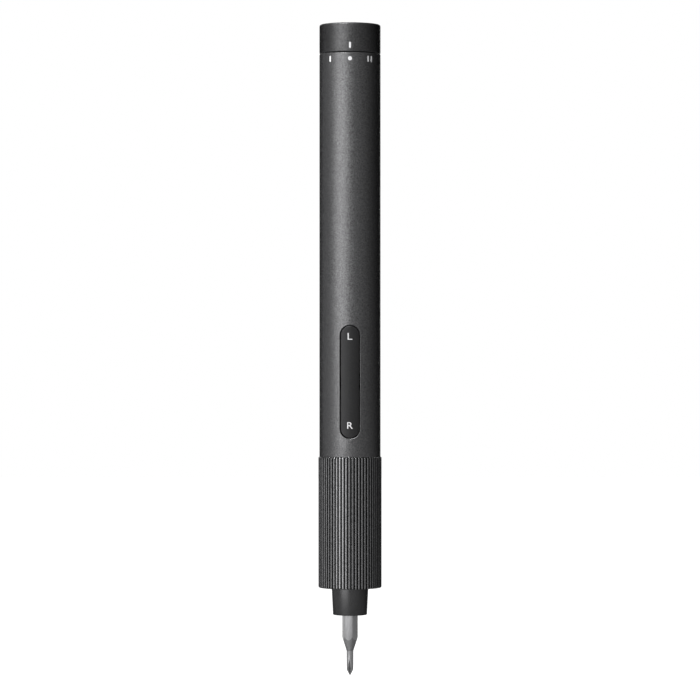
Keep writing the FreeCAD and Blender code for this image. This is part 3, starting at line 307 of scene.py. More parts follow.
def bumped(nodes, links, shader, height, depth):
    """Roughens a shader's surface by a grain."""
    bump = nodes.new("ShaderNodeBump")
    bump.inputs["Distance"].default_value = depth
    links.new(height, bump.inputs["Height"])
    links.new(bump.outputs["Normal"], shader.inputs["Normal"])


def grained(name, dark, light, rough, size, depth, metal=1.0, gloss=0.5, rim=None, spots=3,
            stretch=(1, 1, 1)):
    """A finish whose gloss and surface vary with a fine grain, and its colour in spots some grains wide.

    The rim is the tint that metal takes where it is seen at a low angle.
    """
    finish, nodes, links, shader = new_finish(name)
    shader.inputs["Metallic"].default_value = metal
    shader.inputs["Specular IOR Level"].default_value = gloss
    if rim is not None:
        shader.inputs["Specular Tint"].default_value = (rim, rim, rim, 1)
    fine = grain(nodes, links, size, stretch)
    broad = grain(nodes, links, size * spots, stretch)
    colour = tinted(nodes, links, spread(nodes, links, broad, 0, 1), dark, light)
    links.new(colour, shader.inputs["Base Color"])
    links.new(spread(nodes, links, fine, *rough), shader.inputs["Roughness"])
    bumped(nodes, links, shader, fine, depth)
    return finish


def tone_faces(finish, name, share):
    """Scales a finish's colour by the value that faces carry: full tone at 0, the share of it at 1."""
    nodes, links = finish.node_tree.nodes, finish.node_tree.links
    colour = nodes["Principled BSDF"].inputs["Base Color"]
    value = nodes.new("ShaderNodeAttribute")
    value.attribute_name = name
    tone = nodes.new("ShaderNodeMapRange")
    tone.inputs["To Min"].default_value = 1
    tone.inputs["To Max"].default_value = share
    shaded = nodes.new("ShaderNodeVectorMath")
    shaded.operation = "SCALE"
    links.new(value.outputs["Fac"], tone.inputs["Value"])
    links.new(colour.links[0].from_socket, shaded.inputs["Vector"])
    links.new(tone.outputs["Result"], shaded.inputs["Scale"])
    links.new(shaded.outputs["Vector"], colour)


def grey(level):
    """A slightly cool grey."""
    return (level, level, level * COOL_SHARE)


blasted = grained("blasted_grey_anodise", grey(0.030), grey(0.090), (0.34, 0.46), 0.18 * MM, 0.045 * MM,
                  rim=0.2, spots=1.3)
dial = grained("dial_dark_anodise", grey(0.019), grey(0.058), (0.34, 0.46), 0.18 * MM, 0.045 * MM,
               rim=0.2, spots=1.3)
ribbed = grained("ribbed_grey_anodise", grey(0.054), grey(0.114), (0.26, 0.34), 0.18 * MM, 0.020 * MM,
                 rim=0.1, spots=1.3)
satin = grained("satin_grey_anodise", grey(0.0315), grey(0.040), (0.26, 0.34), 0.10 * MM, 0.002 * MM,
                rim=0.4)
button_satin = grained("button_satin_black", grey(0.0165), grey(0.022), (0.50, 0.58), 0.08 * MM, 0.002 * MM,
                       rim=0.2)
bit_satin = grained("bit_satin_steel", grey(0.172), grey(0.215), (0.36, 0.44), 0.05 * MM, 0.002 * MM,
                    stretch=(1, 1, 12))
mark_paint = grained("mark_grey_paint", grey(0.40), grey(0.48), (0.5, 0.6), 0.1 * MM, 0.002 * MM,
                     metal=0)
contact_gold = grained("contact_gold", (0.72, 0.47, 0.14), (0.85, 0.58, 0.2), (0.2, 0.3), 0.05 * MM,
                       0.001 * MM)
moulded = grained("moulded_black_plastic", grey(0.012), grey(0.022), (0.6, 0.75), 0.08 * MM, 0.006 * MM,
                  metal=0, gloss=0.1)
ground = grained("ground_drive_steel", grey(0.34), grey(0.46), (0.28, 0.42), 0.08 * MM, 0.002 * MM)
sintered = grained("sintered_gear_steel", grey(0.24), grey(0.36), (0.40, 0.55), 0.06 * MM, 0.006 * MM)
bronze = grained("sintered_bush_bronze", (0.42, 0.24, 0.10), (0.55, 0.33, 0.15), (0.35, 0.5), 0.06 * MM,
                 0.005 * MM)
nickel = grained("magnet_nickel_plate", (0.55, 0.53, 0.49), (0.66, 0.64, 0.60), (0.18, 0.28), 0.2 * MM,
                 0.002 * MM)
ivory = grained("plunger_ivory_plastic", (0.55, 0.51, 0.42), (0.66, 0.62, 0.53), (0.4, 0.5), 0.1 * MM,
                0.003 * MM, metal=0)
board_mask = grained("board_black_mask", grey(0.006), grey(0.014), (0.25, 0.4), 0.4 * MM, 0.01 * MM,
                     metal=0)
amber = grained("ribbon_amber_film", (0.35, 0.15, 0.02), (0.50, 0.24, 0.04), (0.2, 0.3), 0.3 * MM,
                0.003 * MM, metal=0)
cell_wrap = grained("cell_blue_wrap", (0.02, 0.06, 0.16), (0.03, 0.09, 0.22), (0.25, 0.35), 0.5 * MM,
                    0.004 * MM, metal=0)
# Near black: painted shade for the dark line in the selector's joint.
joint_shade_black = grained("joint_shade_black_plastic", grey(0.004), grey(0.008), (0.6, 0.7), 0.1 * MM, 0.002 * MM,
                      metal=0, gloss=0.1)
rubber = grained("seal_black_rubber", grey(0.010), grey(0.020), (0.6, 0.8), 0.06 * MM, 0.005 * MM, metal=0)

# The edges of anodised pieces and the button are painted lighter, as a painted highlight along them.
# The grip's grooves are painted darker, as painted shade in the recesses, and the bit's cone as painted shade
# where it faces down.
ANODISE_EDGE_HIGHLIGHT_SHARE = 1.4
BUTTON_EDGE_HIGHLIGHT_SHARE = 1.9
GROOVE_SHADE_SHARE = 0.06
CONE_SHADE_SHARE = 0.62
tone_faces(blasted, "edge_highlight", ANODISE_EDGE_HIGHLIGHT_SHARE)
tone_faces(dial, "edge_highlight", ANODISE_EDGE_HIGHLIGHT_SHARE)
tone_faces(button_satin, "edge_highlight", BUTTON_EDGE_HIGHLIGHT_SHARE)
tone_faces(ribbed, "groove", GROOVE_SHADE_SHARE)
tone_faces(bit_satin, "cone_painted_shade", CONE_SHADE_SHARE)

SLOT_FINISHES = {
    "barrel_finish": blasted,
    "grip_finish": ribbed,
    "nose_finish": satin,
    "button_finish": button_satin,
    "bit_steel": bit_satin,
    "drive_steel": ground,
    "gear_steel": sintered,
    "bush_bronze": bronze,
    "magnet_nickel": nickel,
    "inner_plastic": moulded,
    "plunger_plastic": ivory,
    "board_laminate": board_mask,
    "ribbon_film": amber,
    "battery_wrap": cell_wrap,
    "seal_rubber": rubber,
}


def dress_nodes():
    """Gives every CAD node the finish of its slot."""
    for part in record["subparts"]:
        for place in frame["nodes"][part["node"]].material_slots:
            place.material = SLOT_FINISHES[part["material_slot"]]


# Barrel

BARREL_WALL = 1.2 * MM
BARREL_RIM = 0.15 * MM
SLOT_GAP = 0.3 * MM
SLOT_EDGE = 0.12 * MM
CUT_ROOM = 1.5 * MM
BUTTON_RADIUS = (button_high.x - button_low.x) / 2
BUTTON_REACH = (button_high.z - button_low.z) / 2 - BUTTON_RADIUS
BUTTON_MIDDLE = (button_high.z + button_low.z) / 2
CROWN_RADIUS = -button_low.y


def make_barrel():
    """A tube with a neck that plugs into the grip, and a slot for the button."""
    bore = BARREL_RADIUS - BARREL_WALL
    neck = case_high.x
    shape = turned((bore, barrel_low.z), (neck, barrel_low.z), (neck, 0), (BARREL_RADIUS, 0),
                   (BARREL_RADIUS, barrel_high.z), (bore, barrel_high.z))
    for height in (0, barrel_high.z):
        round_rim(shape, BARREL_RADIUS, height, BARREL_RIM)
    deep = BARREL_WALL + CUT_ROOM
    flare = 2 * SLOT_EDGE
    cutter = round_ended(BUTTON_RADIUS + SLOT_GAP, BUTTON_REACH,
                         [(0, deep), (0, SLOT_EDGE), (flare, -SLOT_EDGE), (flare, -CUT_ROOM)])
    shape = carved(shape, wrapped(cutter, BARREL_RADIUS, BUTTON_MIDDLE))
    # The slot's chamfer faces get a painted highlight.
    mark_edges(shape, BARREL_RADIUS, SLOT_EDGE)
    piece("barrel_shell", shape, "body", "barrel_finish", blasted, "barrel")


# Grip sleeve

GRIP_RADIUS = grip_high.x
GRIP_LIP = 1.5 * MM
GRIP_EDGE = 0.25 * MM
GRIP_SEAT = 7.2 * MM
NOSE_ROOT_RADIUS = 5.28 * MM
SLEEVE_FIT = 0.03 * MM
RIB_COUNT = 60
RIB_START = math.radians(1.9)
GROOVE_DEPTH = 0.3 * MM
GROOVE_MOUTH = 0.42 * MM
GROOVE_FLOOR = 0.32 * MM
RIB_SHOULDER = 0.14 * MM
RIB_SHOULDER_TURN = math.radians(60)
RIB_SHOULDER_STEPS = 6
GROOVE_SHADE_TOP = 0.03 * MM
GROOVE_SHADE_DEPTH = 0.08 * MM
UPRIGHT = 0.1


def rib_outline():
    """Half a groove, a rib with rounded shoulders and half a groove, as (arc, radius) points."""
    pitch = FULL_TURN * GRIP_RADIUS / RIB_COUNT
    floor = GRIP_RADIUS - GROOVE_DEPTH
    flat = (pitch - GROOVE_MOUTH) / 2 - RIB_SHOULDER * math.sin(RIB_SHOULDER_TURN)
    half = [(0, GRIP_RADIUS)]
    for step in range(RIB_SHOULDER_STEPS + 1):
        angle = RIB_SHOULDER_TURN * step / RIB_SHOULDER_STEPS
        arc = flat + RIB_SHOULDER * math.sin(angle)
        half.append((arc, GRIP_RADIUS - RIB_SHOULDER * (1 - math.cos(angle))))
    half += [((pitch - GROOVE_FLOOR) / 2, floor), (pitch / 2, floor)]
    return [(-arc, radius) for arc, radius in half[:0:-1]] + half


def make_grip():
    """The ribbed sleeve: one rib's outline, repeated round the axis and drawn along it."""
    shape = bmesh.new()
    middle = RIB_START + FULL_TURN / RIB_COUNT / 2
    low_edge = grip_low.z + GRIP_EDGE
    corners = []
    for arc, radius in rib_outline():
        angle = middle + arc / GRIP_RADIUS
        corners.append(shape.verts.new((radius * math.cos(angle), radius * math.sin(angle), low_edge)))
    sides = [shape.edges.new(pair) for pair in zip(corners, corners[1:])]
    bmesh.ops.spin(shape, geom=corners + sides, cent=(0, 0, 0), axis=(0, 0, 1), use_duplicate=True,
                   angle=FULL_TURN, steps=RIB_COUNT)
    bmesh.ops.remove_doubles(shape, verts=shape.verts, dist=NEAR)

    def within(radius, height):
        def place(spot):
            share = min(1, radius / math.hypot(spot.x, spot.y))
            return Vector((spot.x * share, spot.y * share, height))
        return place

    def at_radius(radius, height):
        def place(spot):
            share = radius / math.hypot(spot.x, spot.y)
            return Vector((spot.x * share, spot.y * share, height))
        return place

    end = GRIP_RADIUS - GRIP_EDGE
    seat = case_high.x + SLEEVE_FIT
    bore = plate_high.x + SLEEVE_FIT
    hole = NOSE_ROOT_RADIUS + SLEEVE_FIT
    lip = grip_low.z + GRIP_LIP
    outline = list(shape.edges)
    upward = (within(GRIP_RADIUS, grip_high.z - GRIP_EDGE), within(end, grip_high.z),
              at_radius(seat, grip_high.z), at_radius(seat, grip_high.z - GRIP_SEAT),
              at_radius(bore, grip_high.z - GRIP_SEAT), at_radius(bore, lip))
    downward = (within(end, grip_low.z), at_radius(hole, grip_low.z), at_radius(hole, lip),
                at_radius(bore, lip))
    for run in (upward, downward):
        loop = outline
        for place in run:
            loop = grown(shape, loop, place)
    bmesh.ops.remove_doubles(shape, verts=shape.verts, dist=WELD)

    # Faces deep in the grooves get a painted shade: none near the rib tops, full further down.
    def groove_shade_share(face):
        depth = GRIP_RADIUS - face_radius(face)
        share = (depth - GROOVE_SHADE_TOP) / (GROOVE_SHADE_DEPTH - GROOVE_SHADE_TOP)
        in_groove = depth < GROOVE_DEPTH + WELD and abs(face.normal.z) < UPRIGHT
        return min(1, max(0, share)) if in_groove else 0

    mark_faces(shape, "groove", groove_shade_share)
    piece("grip_ribbed_sleeve", shape, "body", "grip_finish", ribbed, "grip_sleeve")


# Nose and bit

NOSE_TIP_RADIUS = 4.91 * MM
NOSE_MOUTH_RADIUS = 3.7 * MM
NOSE_LIP = 0.8 * MM
NOSE_ROUND = 0.22 * MM
NOSE_MOUTH_ROUND = 0.1 * MM


def make_nose():
    """The tapered nose, with a collar that the grip's lip holds."""
    lip = nose_low.z + NOSE_LIP
    grip_lip = grip_low.z + GRIP_LIP
    seat = bush_high.x + SLEEVE_FIT
    shape = turned((NOSE_MOUTH_RADIUS, nose_low.z), (NOSE_TIP_RADIUS, nose_low.z),
                   (NOSE_ROOT_RADIUS, grip_low.z), (NOSE_ROOT_RADIUS, grip_lip), (nose_high.x, grip_lip),
                   (nose_high.x, nose_high.z), (seat, nose_high.z), (seat, lip), (NOSE_MOUTH_RADIUS, lip))
    round_rim(shape, NOSE_TIP_RADIUS, nose_low.z, NOSE_ROUND)
    round_rim(shape, NOSE_MOUTH_RADIUS, nose_low.z, NOSE_MOUTH_ROUND)
    piece("nose_turned", shape, "body", "nose_finish", satin, "nose_cone")


BIT_FLATS = 4.0 * MM
BIT_CORNER = BIT_FLATS / 2 / math.cos(math.pi / 6)
BIT_TURN = math.radians(-12)
BIT_NECK_RADIUS = 1.0 * MM
BIT_NECK_LENGTH = 7.0 * MM
BIT_CONE_LENGTH = 4.1 * MM
BIT_TIP_LENGTH = 1.6 * MM
BIT_TIP_RADIUS = 0.175 * MM
BIT_TOP_EDGE = 0.4 * MM
BIT_EDGE = 0.06 * MM
CONE_TILT = 0.1
FLUTE_COUNT = 4
FLUTE_ROOT = 0.2 * MM
FLUTE_LENGTH = 6.2 * MM
FLUTE_HALF_WIDTH = 1.1 * MM


def make_bit():
    """A hex bar turned to a cone and a neck, with four flutes that make the cross tip."""
    tip, top = bit_low.z, bit_high.z
    neck_top = tip + BIT_NECK_LENGTH
    hexagon = bmesh.new()
    bmesh.ops.create_cone(hexagon, cap_ends=True, segments=6, radius1=BIT_CORNER, radius2=BIT_CORNER,
                          depth=top - tip, matrix=Matrix.Translation((0, 0, (top + tip) / 2)))
    first = max(hexagon.verts, key=lambda corner: corner.co.x).co
    turn_round(hexagon, BIT_TURN - math.atan2(first.y, first.x))
    corners = [edge for edge in hexagon.edges if edge.verts[0].co.z != edge.verts[1].co.z]
    round_edges(hexagon, corners, BIT_EDGE)
    past = BIT_CORNER + CUT_ROOM
    slope = (BIT_CORNER - BIT_NECK_RADIUS) / BIT_CONE_LENGTH
    form = turned((0, tip), (BIT_TIP_RADIUS, tip), (BIT_NECK_RADIUS, tip + BIT_TIP_LENGTH),
                  (BIT_NECK_RADIUS, neck_top), (past, neck_top + (past - BIT_NECK_RADIUS) / slope),
                  (past, top - BIT_TOP_EDGE - CUT_ROOM), (BIT_CORNER - BIT_TOP_EDGE, top), (0, top))
    shape = carved(hexagon, form, "INTERSECT")
    rise = Vector((BIT_NECK_RADIUS, 0, FLUTE_LENGTH))
    start = Vector((FLUTE_ROOT, 0, tip)) - rise
    sides = (Vector(), Vector((FLUTE_HALF_WIDTH, FLUTE_HALF_WIDTH, 0)),
             Vector((FLUTE_HALF_WIDTH, -FLUTE_HALF_WIDTH, 0)))
    for index in range(FLUTE_COUNT):
        flute = bmesh.new()
        face = flute.faces.new([flute.verts.new(start + side) for side in sides])
        drawn = bmesh.ops.extrude_face_region(flute, geom=[face])["geom"]
        moved = [part for part in drawn if isinstance(part, bmesh.types.BMVert)]
        bmesh.ops.translate(flute, verts=moved, vec=rise * 2)
        bmesh.ops.recalc_face_normals(flute, faces=flute.faces)
        turn_round(flute, FULL_TURN / FLUTE_COUNT * index + BIT_TURN)
        shape = carved(shape, flute)

    # The cone's downward faces are marked for a painted shade, darker than the flats and the neck.
    def on_cone(face):
        return face.calc_center_median().z > neck_top and face.normal.z < -CONE_TILT

    mark_faces(shape, "cone_painted_shade", on_cone)
    piece("bit_cross_tip", shape, "bit", "bit_steel", bit_satin, "driver_bit")


# Rocker button

BUTTON_THICKNESS = 1.5 * MM
BUTTON_ROUND = 0.18 * MM
BUTTON_EDGE = 0.06 * MM
ROUND_TURNS = 5
CROWN_SHARES = (0.25, 0.5, 0.75)
LUG_HALF_WIDTH = 1.7 * MM
LUG_RIM = 0.8 * MM
FOOT_HALF_WIDTH = 1.0 * MM
FOOT_HALF_LENGTH = 0.8 * MM
FOOT_GAP = 0.05 * MM
MOULD_EDGE = 0.1 * MM


def make_button():
    """A crowned cap with rounded edges, a lug for its pivot and a foot over each plunger."""
    rings = [(0, BUTTON_THICKNESS)]
    for index in range(ROUND_TURNS):
        angle = QUARTER_TURN * index / (ROUND_TURNS - 1)
        rings.append((-BUTTON_ROUND * (1 - math.cos(angle)), BUTTON_ROUND * (1 - math.sin(angle))))
    for share in CROWN_SHARES:
        rings.append((-BUTTON_ROUND - (BUTTON_RADIUS - BUTTON_ROUND) * share, 0))
    shape = wrapped(round_ended(BUTTON_RADIUS, BUTTON_REACH, rings), CROWN_RADIUS, BUTTON_MIDDLE)
    # The button's rounded rim gets a painted highlight.
    mark_edges(shape, CROWN_RADIUS, BUTTON_EDGE)
    root = BUTTON_THICKNESS / 2 - CROWN_RADIUS
    block(shape, (-LUG_HALF_WIDTH, root, PIVOT.z - LUG_RIM),
          (LUG_HALF_WIDTH, PIVOT.y + LUG_RIM, PIVOT.z + LUG_RIM), MOULD_EDGE)
    for node in ("right_plunger", "left_plunger"):
        low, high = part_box(node)
        z = (low.z + high.z) / 2
        block(shape, (-FOOT_HALF_WIDTH, root, z - FOOT_HALF_LENGTH),
              (FOOT_HALF_WIDTH, low.y - FOOT_GAP, z + FOOT_HALF_LENGTH), MOULD_EDGE)
    piece("rocker_button_cap", shape, "rocker", "button_finish", button_satin, "rocker_button")


# Selector ring and port

RING_ROUND = 0.5 * MM
COVER_GAP = 0.15 * MM
COVER_PLAY = 0.1 * MM
RING_BORE = 6.05 * MM
RING_CAVITY = 7.7 * MM
RING_CAVITY_HEIGHT = 1.75 * MM
PORT_GAP = 0.08 * MM
PORT_WALL = 0.25 * MM
PORT_LIP = 0.08 * MM
COVER_EDGE = 0.12 * MM
SLIP_RING_INSET = 0.12 * MM
SLIP_RING_PLAY = 0.07 * MM


def make_slip_ring():
    """The thin black ring that the selector turns on, which fills the joint; its near black is a painted shade for
    the joint's shadow line.
    """
    low, high = barrel_high.z, ring_low.z - SLIP_RING_PLAY
    outer = BARREL_RADIUS - SLIP_RING_INSET
    shape = turned((RING_CAVITY, low), (outer, low), (outer, high), (RING_CAVITY, high))
    round_rim(shape, outer, high, SLIP_RING_PLAY, segments=2)
    piece("joint_slip_ring", shape, "body", "inner_plastic", joint_shade_black)


def make_selector():
    """The turning end ring, hollow below and open above for the port's cover."""
    hole = cover_high.x + COVER_GAP
    seat = cover_low.z - COVER_PLAY
    ceiling = ring_low.z + RING_CAVITY_HEIGHT
    shape = turned((RING_CAVITY, ring_low.z), (BARREL_RADIUS, ring_low.z), (BARREL_RADIUS, ring_high.z),
                   (hole, ring_high.z), (hole, seat), (RING_BORE, seat), (RING_BORE, ceiling),
                   (RING_CAVITY, ceiling))
    round_rim(shape, BARREL_RADIUS, ring_high.z, RING_ROUND, segments=6)
    round_rim(shape, BARREL_RADIUS, ring_low.z, BARREL_RIM)
    round_rim(shape, hole, ring_high.z, COVER_EDGE)
    # Faces of the ring's rounded edges near its outer radius get a painted highlight.
    mark_edges(shape, BARREL_RADIUS, SLOT_EDGE)
    piece("selector_ring_cap", shape, "selector", "barrel_finish", dial, "selector_ring")


def make_port():
    """The cover with its opening, and the metal shell in it."""
    shell_radius = shell_high.y
    reach = shell_high.x - shell_radius
    flare = PORT_GAP + 2 * COVER_EDGE
    opening = round_ended(shell_radius, reach, [
        (PORT_GAP, cover_low.z - CUT_ROOM), (PORT_GAP, cover_high.z - COVER_EDGE),
        (flare, cover_high.z + COVER_EDGE), (flare, cover_high.z + CUT_ROOM)])
    turn_round(opening, QUARTER_TURN)
    rim = cover_high.x
    disc = turned((0, cover_low.z), (rim, cover_low.z), (rim, cover_high.z), (0, cover_high.z))
    round_rim(disc, rim, cover_high.z, COVER_EDGE)
    piece("port_cover", carved(disc, opening), "body", "inner_plastic", moulded, "port_plate")
    wall = -PORT_WALL
    lip = shell_high.z - PORT_LIP
    shell = round_ended(shell_radius, reach, [
        (0, shell_low.z), (0, lip), (-PORT_LIP, shell_high.z), (wall + PORT_LIP, shell_high.z),
        (wall, lip), (wall, shell_low.z), (0, shell_low.z)], closed=False)
    turn_round(shell, QUARTER_TURN)
    piece("port_shell", shell, "body", "drive_steel", ground, "usb_shell")


TONGUE_BACK = 1.2 * MM
TONGUE_HALF_WIDTH = 3.3 * MM
TONGUE_HALF_DEPTH = 0.35 * MM
TONGUE_EDGE = 0.12 * MM
CONTACT_COUNT = 12
CONTACT_PITCH = 0.5 * MM
CONTACT_HALF_WIDTH = 0.14 * MM
CONTACT_LENGTH = 3.2 * MM
CONTACT_INSET = 0.5 * MM
CONTACT_RISE = 0.02 * MM


def make_tongue():
    """The port's back wall and the tongue that stands on it, with a row of contacts on each face."""
    low, high = tongue_low.z, tongue_low.z + TONGUE_BACK
    tongue = round_ended(tongue_high.y, tongue_high.x - tongue_high.y, [(0, low), (0, high)])
    turn_round(tongue, QUARTER_TURN)
    block(tongue, (-TONGUE_HALF_WIDTH, -TONGUE_HALF_DEPTH, (low + high) / 2),
          (TONGUE_HALF_WIDTH, TONGUE_HALF_DEPTH, tongue_high.z), TONGUE_EDGE)
    piece("port_tongue", tongue, "body", "inner_plastic", moulded, "usb_tongue")
    contacts = bmesh.new()
    top = tongue_high.z - CONTACT_INSET
    for index in range(CONTACT_COUNT):
        middle = (index - (CONTACT_COUNT - 1) / 2) * CONTACT_PITCH
        for face in (-TONGUE_HALF_DEPTH, TONGUE_HALF_DEPTH):
            block(contacts, (middle - CONTACT_HALF_WIDTH, face - CONTACT_RISE, top - CONTACT_LENGTH),
                  (middle + CONTACT_HALF_WIDTH, face + CONTACT_RISE, top), CONTACT_RISE / 2)
    piece("port_contacts", contacts, "body", "drive_steel", contact_gold)


# Marks

MARK_RISE = 0.012 * MM
MARK_SINK = 0.03 * MM
BAR_HALF_WIDTH = 0.28 * MM
BAR_REACH = 0.6 * MM
DOT_RADIUS = 0.57 * MM
BAR_SPACING = 1.2 * MM
MARK_DROP = 1.75 * MM
LETTER_HEIGHT = 1.9 * MM
LETTER_WIDTHS = {"L": 1.35 * MM, "R": 1.6 * MM}
LETTER_INSETS = {"L": 2.97 * MM, "R": 3.55 * MM}
LETTER_CUTS = 12
LETTER_CUT_SLACK = WELD / 10
MARK_STEPS = 32


def bar_mark(name, body, radius, reach, height, angle):
    """A bar or dot laid on the barrel or the ring, turned round to its place."""
    shape = round_ended(radius, reach, [(0, MARK_SINK), (0, -MARK_RISE)], segments=MARK_STEPS)
    wrapped(shape, BARREL_RADIUS, height)
    turn_round(shape, angle)
    piece(name, shape, body, "barrel_finish", mark_paint)


def letter_mark(letter, height):
    """A letter, sized, cut into upright strips and laid on the button's crown."""
    curve = bpy.data.curves.new(f"letter_{letter}", "FONT")
    curve.body = letter
    curve.extrude = (MARK_SINK + MARK_RISE) / 2
    writing = link(bpy.data.objects.new(f"letter_{letter}", curve))
    graph = bpy.context.evaluated_depsgraph_get()
    mesh = bpy.data.meshes.new_from_object(writing.evaluated_get(graph))
    bpy.data.objects.remove(writing)
    bpy.data.curves.remove(curve)
    shape = bmesh.new()
    shape.from_mesh(mesh)
    bpy.data.meshes.remove(mesh)
    low = Vector([min(corner.co[axis] for corner in shape.verts) for axis in range(3)])
    high = Vector([max(corner.co[axis] for corner in shape.verts) for axis in range(3)])
    bmesh.ops.translate(shape, verts=shape.verts, vec=-(low + high) / 2)
    wide = LETTER_WIDTHS[letter] / (high.x - low.x)
    tall = LETTER_HEIGHT / (high.y - low.y)
    bmesh.ops.scale(shape, verts=shape.verts, vec=(wide, tall, 1))
    bmesh.ops.translate(shape, verts=shape.verts, vec=(0, 0, (MARK_SINK - MARK_RISE) / 2))
    bmesh.ops.remove_doubles(shape, verts=shape.verts, dist=WELD)
    for index in range(1, LETTER_CUTS):
        across = LETTER_WIDTHS[letter] * (index / LETTER_CUTS - 0.5)
        everything = shape.verts[:] + shape.edges[:] + shape.faces[:]
        bmesh.ops.bisect_plane(shape, geom=everything, plane_co=(across, 0, 0), plane_no=(1, 0, 0),
                               dist=LETTER_CUT_SLACK)
    wrapped(shape, CROWN_RADIUS, height)
    piece(f"mark_letter_{letter.lower()}", shape, "rocker", "button_finish", mark_paint)


def make_marks():
    """L and R on the button, I, dot and II on the barrel, and the index on the ring."""
    letter_mark("L", button_high.z - LETTER_INSETS["L"])
    letter_mark("R", button_low.z + LETTER_INSETS["R"])
    low = barrel_high.z - MARK_DROP
    bar_mark("mark_dot_off", "body", DOT_RADIUS, 0, low, 0)
    bar_mark("mark_bar_one", "body", BAR_HALF_WIDTH, BAR_REACH, low, -SELECTOR_REACH)
    for name, side in (("a", -1), ("b", 1)):
        angle = SELECTOR_REACH + side * BAR_SPACING / 2 / BARREL_RADIUS
        bar_mark(f"mark_bar_two_{name}", "body", BAR_HALF_WIDTH, BAR_REACH, low, angle)
    bar_mark("mark_index", "selector", BAR_HALF_WIDTH, BAR_REACH, ring_low.z + MARK_DROP, 0)


# Stage, camera and light

CAMERA_DISTANCE = 0.95
FRAME_HEIGHT = 0.2018
SENSOR_WIDTH = 36
FLOOR_SIZE = 6.0
FLOOR_DROP = 0.06
FLOOR_COLOUR = 0.55
SWEEP_START = 0.25
SWEEP_END = 0.5
AMBIENT = 0.25
DARK_SIDE = math.radians(120)
DARK_SIDE_TONE = 0.1


def studio_light(nodes, links, direction, fallen):
    """1 for what the camera sees, the studio's tone for what metal and glass show, and fallen otherwise.

    The studio is white, and darker in reflections on the side away from the key light.
    """
    side = nodes.new("ShaderNodeVectorMath")
    side.operation = "DOT_PRODUCT"
    side.inputs[1].default_value = (math.sin(DARK_SIDE), -math.cos(DARK_SIDE), 0)
    links.new(direction, side.inputs[0])
    tone = nodes.new("ShaderNodeMapRange")
    tone.inputs["To Min"].default_value = 1
    tone.inputs["To Max"].default_value = DARK_SIDE_TONE
    links.new(side.outputs["Value"], tone.inputs["Value"])
    path = nodes.new("ShaderNodeLightPath")
    mirrored = nodes.new("ShaderNodeMath")
    mirrored.operation = "MAXIMUM"
    links.new(path.outputs["Is Glossy Ray"], mirrored.inputs[0])
    links.new(path.outputs["Is Transmission Ray"], mirrored.inputs[1])
    shown = nodes.new("ShaderNodeMix")
    shown.inputs["A"].default_value = fallen
    links.new(mirrored.outputs["Value"], shown.inputs["Factor"])
    links.new(tone.outputs["Result"], shown.inputs["B"])
    level = nodes.new("ShaderNodeMix")
    level.inputs["B"].default_value = 1
    links.new(path.outputs["Is Camera Ray"], level.inputs["Factor"])
    links.new(shown.outputs["Result"], level.inputs["A"])
    return level.outputs["Result"]


def make_world():
    """White for the camera, the studio in reflections and a weak light from all round."""
    world = bpy.data.worlds.new("white_studio")
    bpy.context.scene.world = world
    world.use_nodes = True
    nodes, links = world.node_tree.nodes, world.node_tree.links
    place = nodes.new("ShaderNodeTexCoord")
    background = nodes["Background"]
    background.inputs["Color"].default_value = (1, 1, 1, 1)
    links.new(studio_light(nodes, links, place.outputs["Generated"], AMBIENT), background.inputs["Strength"])


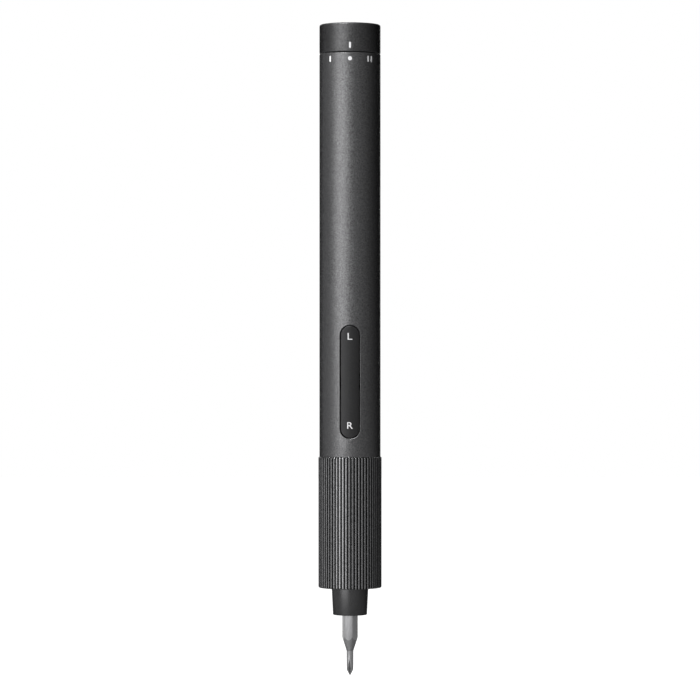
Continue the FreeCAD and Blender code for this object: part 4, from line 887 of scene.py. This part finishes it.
def make_floor():
    """A pale floor that keeps the shadow near the tool and turns to the background's white further out."""
    shape = bmesh.new()
    bmesh.ops.create_grid(shape, x_segments=1, y_segments=1, size=FLOOR_SIZE / 2)
    bmesh.ops.translate(shape, verts=shape.verts, vec=(0, 0, cad_low.z - FLOOR_DROP))
    mesh = bpy.data.meshes.new("floor")
    shape.to_mesh(mesh)
    shape.free()
    finish, nodes, links, shader = new_finish("floor_white")
    shader.inputs["Base Color"].default_value = (FLOOR_COLOUR, FLOOR_COLOUR, FLOOR_COLOUR, 1)
    shader.inputs["Roughness"].default_value = 1
    shader.inputs["Specular IOR Level"].default_value = 0
    shader.inputs["Emission Color"].default_value = (1, 1, 1, 1)
    place = nodes.new("ShaderNodeTexCoord")
    far = nodes.new("ShaderNodeVectorMath")
    far.operation = "LENGTH"
    links.new(place.outputs["Object"], far.inputs[0])
    sweep = nodes.new("ShaderNodeMapRange")
    sweep.interpolation_type = "SMOOTHSTEP"
    sweep.inputs["From Min"].default_value = SWEEP_START
    sweep.inputs["From Max"].default_value = SWEEP_END
    links.new(far.outputs["Value"], sweep.inputs["Value"])
    outward = nodes.new("ShaderNodeVectorMath")
    outward.operation = "NORMALIZE"
    links.new(place.outputs["Object"], outward.inputs[0])
    glow = nodes.new("ShaderNodeMath")
    glow.operation = "MULTIPLY"
    links.new(sweep.outputs["Result"], glow.inputs[0])
    links.new(studio_light(nodes, links, outward.outputs["Vector"], 0), glow.inputs[1])
    links.new(glow.outputs["Value"], shader.inputs["Emission Strength"])
    mesh.materials.append(finish)
    link(bpy.data.objects.new("floor", mesh))


def make_camera():
    """A level view of the whole tool from the front."""
    lens = bpy.data.cameras.new("camera")
    lens.sensor_width = SENSOR_WIDTH
    lens.lens = SENSOR_WIDTH * CAMERA_DISTANCE / FRAME_HEIGHT
    camera = link(bpy.data.objects.new("camera", lens))
    camera.location = (0, -CAMERA_DISTANCE, MIDDLE_HEIGHT)
    camera.rotation_euler = (QUARTER_TURN, 0, 0)
    bpy.context.scene.camera = camera


def softbox(name, azimuth, elevation, distance, width, height, power):
    """A soft lamp that faces the tool's middle, from an azimuth left or right of the camera."""
    lamp = bpy.data.lights.new(name, "AREA")
    lamp.shape = "RECTANGLE"
    lamp.size, lamp.size_y = width, height
    lamp.energy = power
    thing = link(bpy.data.objects.new(name, lamp))
    turn, lift = math.radians(azimuth), math.radians(elevation)
    out = Vector((math.sin(turn) * math.cos(lift), -math.cos(turn) * math.cos(lift), math.sin(lift)))
    thing.location = Vector((0, 0, MIDDLE_HEIGHT)) + out * distance
    thing.rotation_euler = out.to_track_quat("Z", "Y").to_euler()


dress_nodes()
make_barrel()
make_grip()
make_nose()
make_bit()
make_button()
make_slip_ring()
make_selector()
make_port()
make_tongue()
make_marks()
make_world()
make_floor()
make_camera()
softbox("key_softbox", azimuth=-34, elevation=8, distance=0.5, width=0.4, height=0.7, power=4.9)
softbox("rim_softbox", azimuth=-125, elevation=12, distance=0.6, width=0.35, height=0.6, power=0.7)
softbox("back_softbox", azimuth=160, elevation=20, distance=0.6, width=0.35, height=0.6, power=2.0)
softbox("top_softbox", azimuth=-50, elevation=68, distance=0.7, width=0.08, height=0.08, power=6.0)
bpy.context.scene.view_settings.view_transform = "Standard"
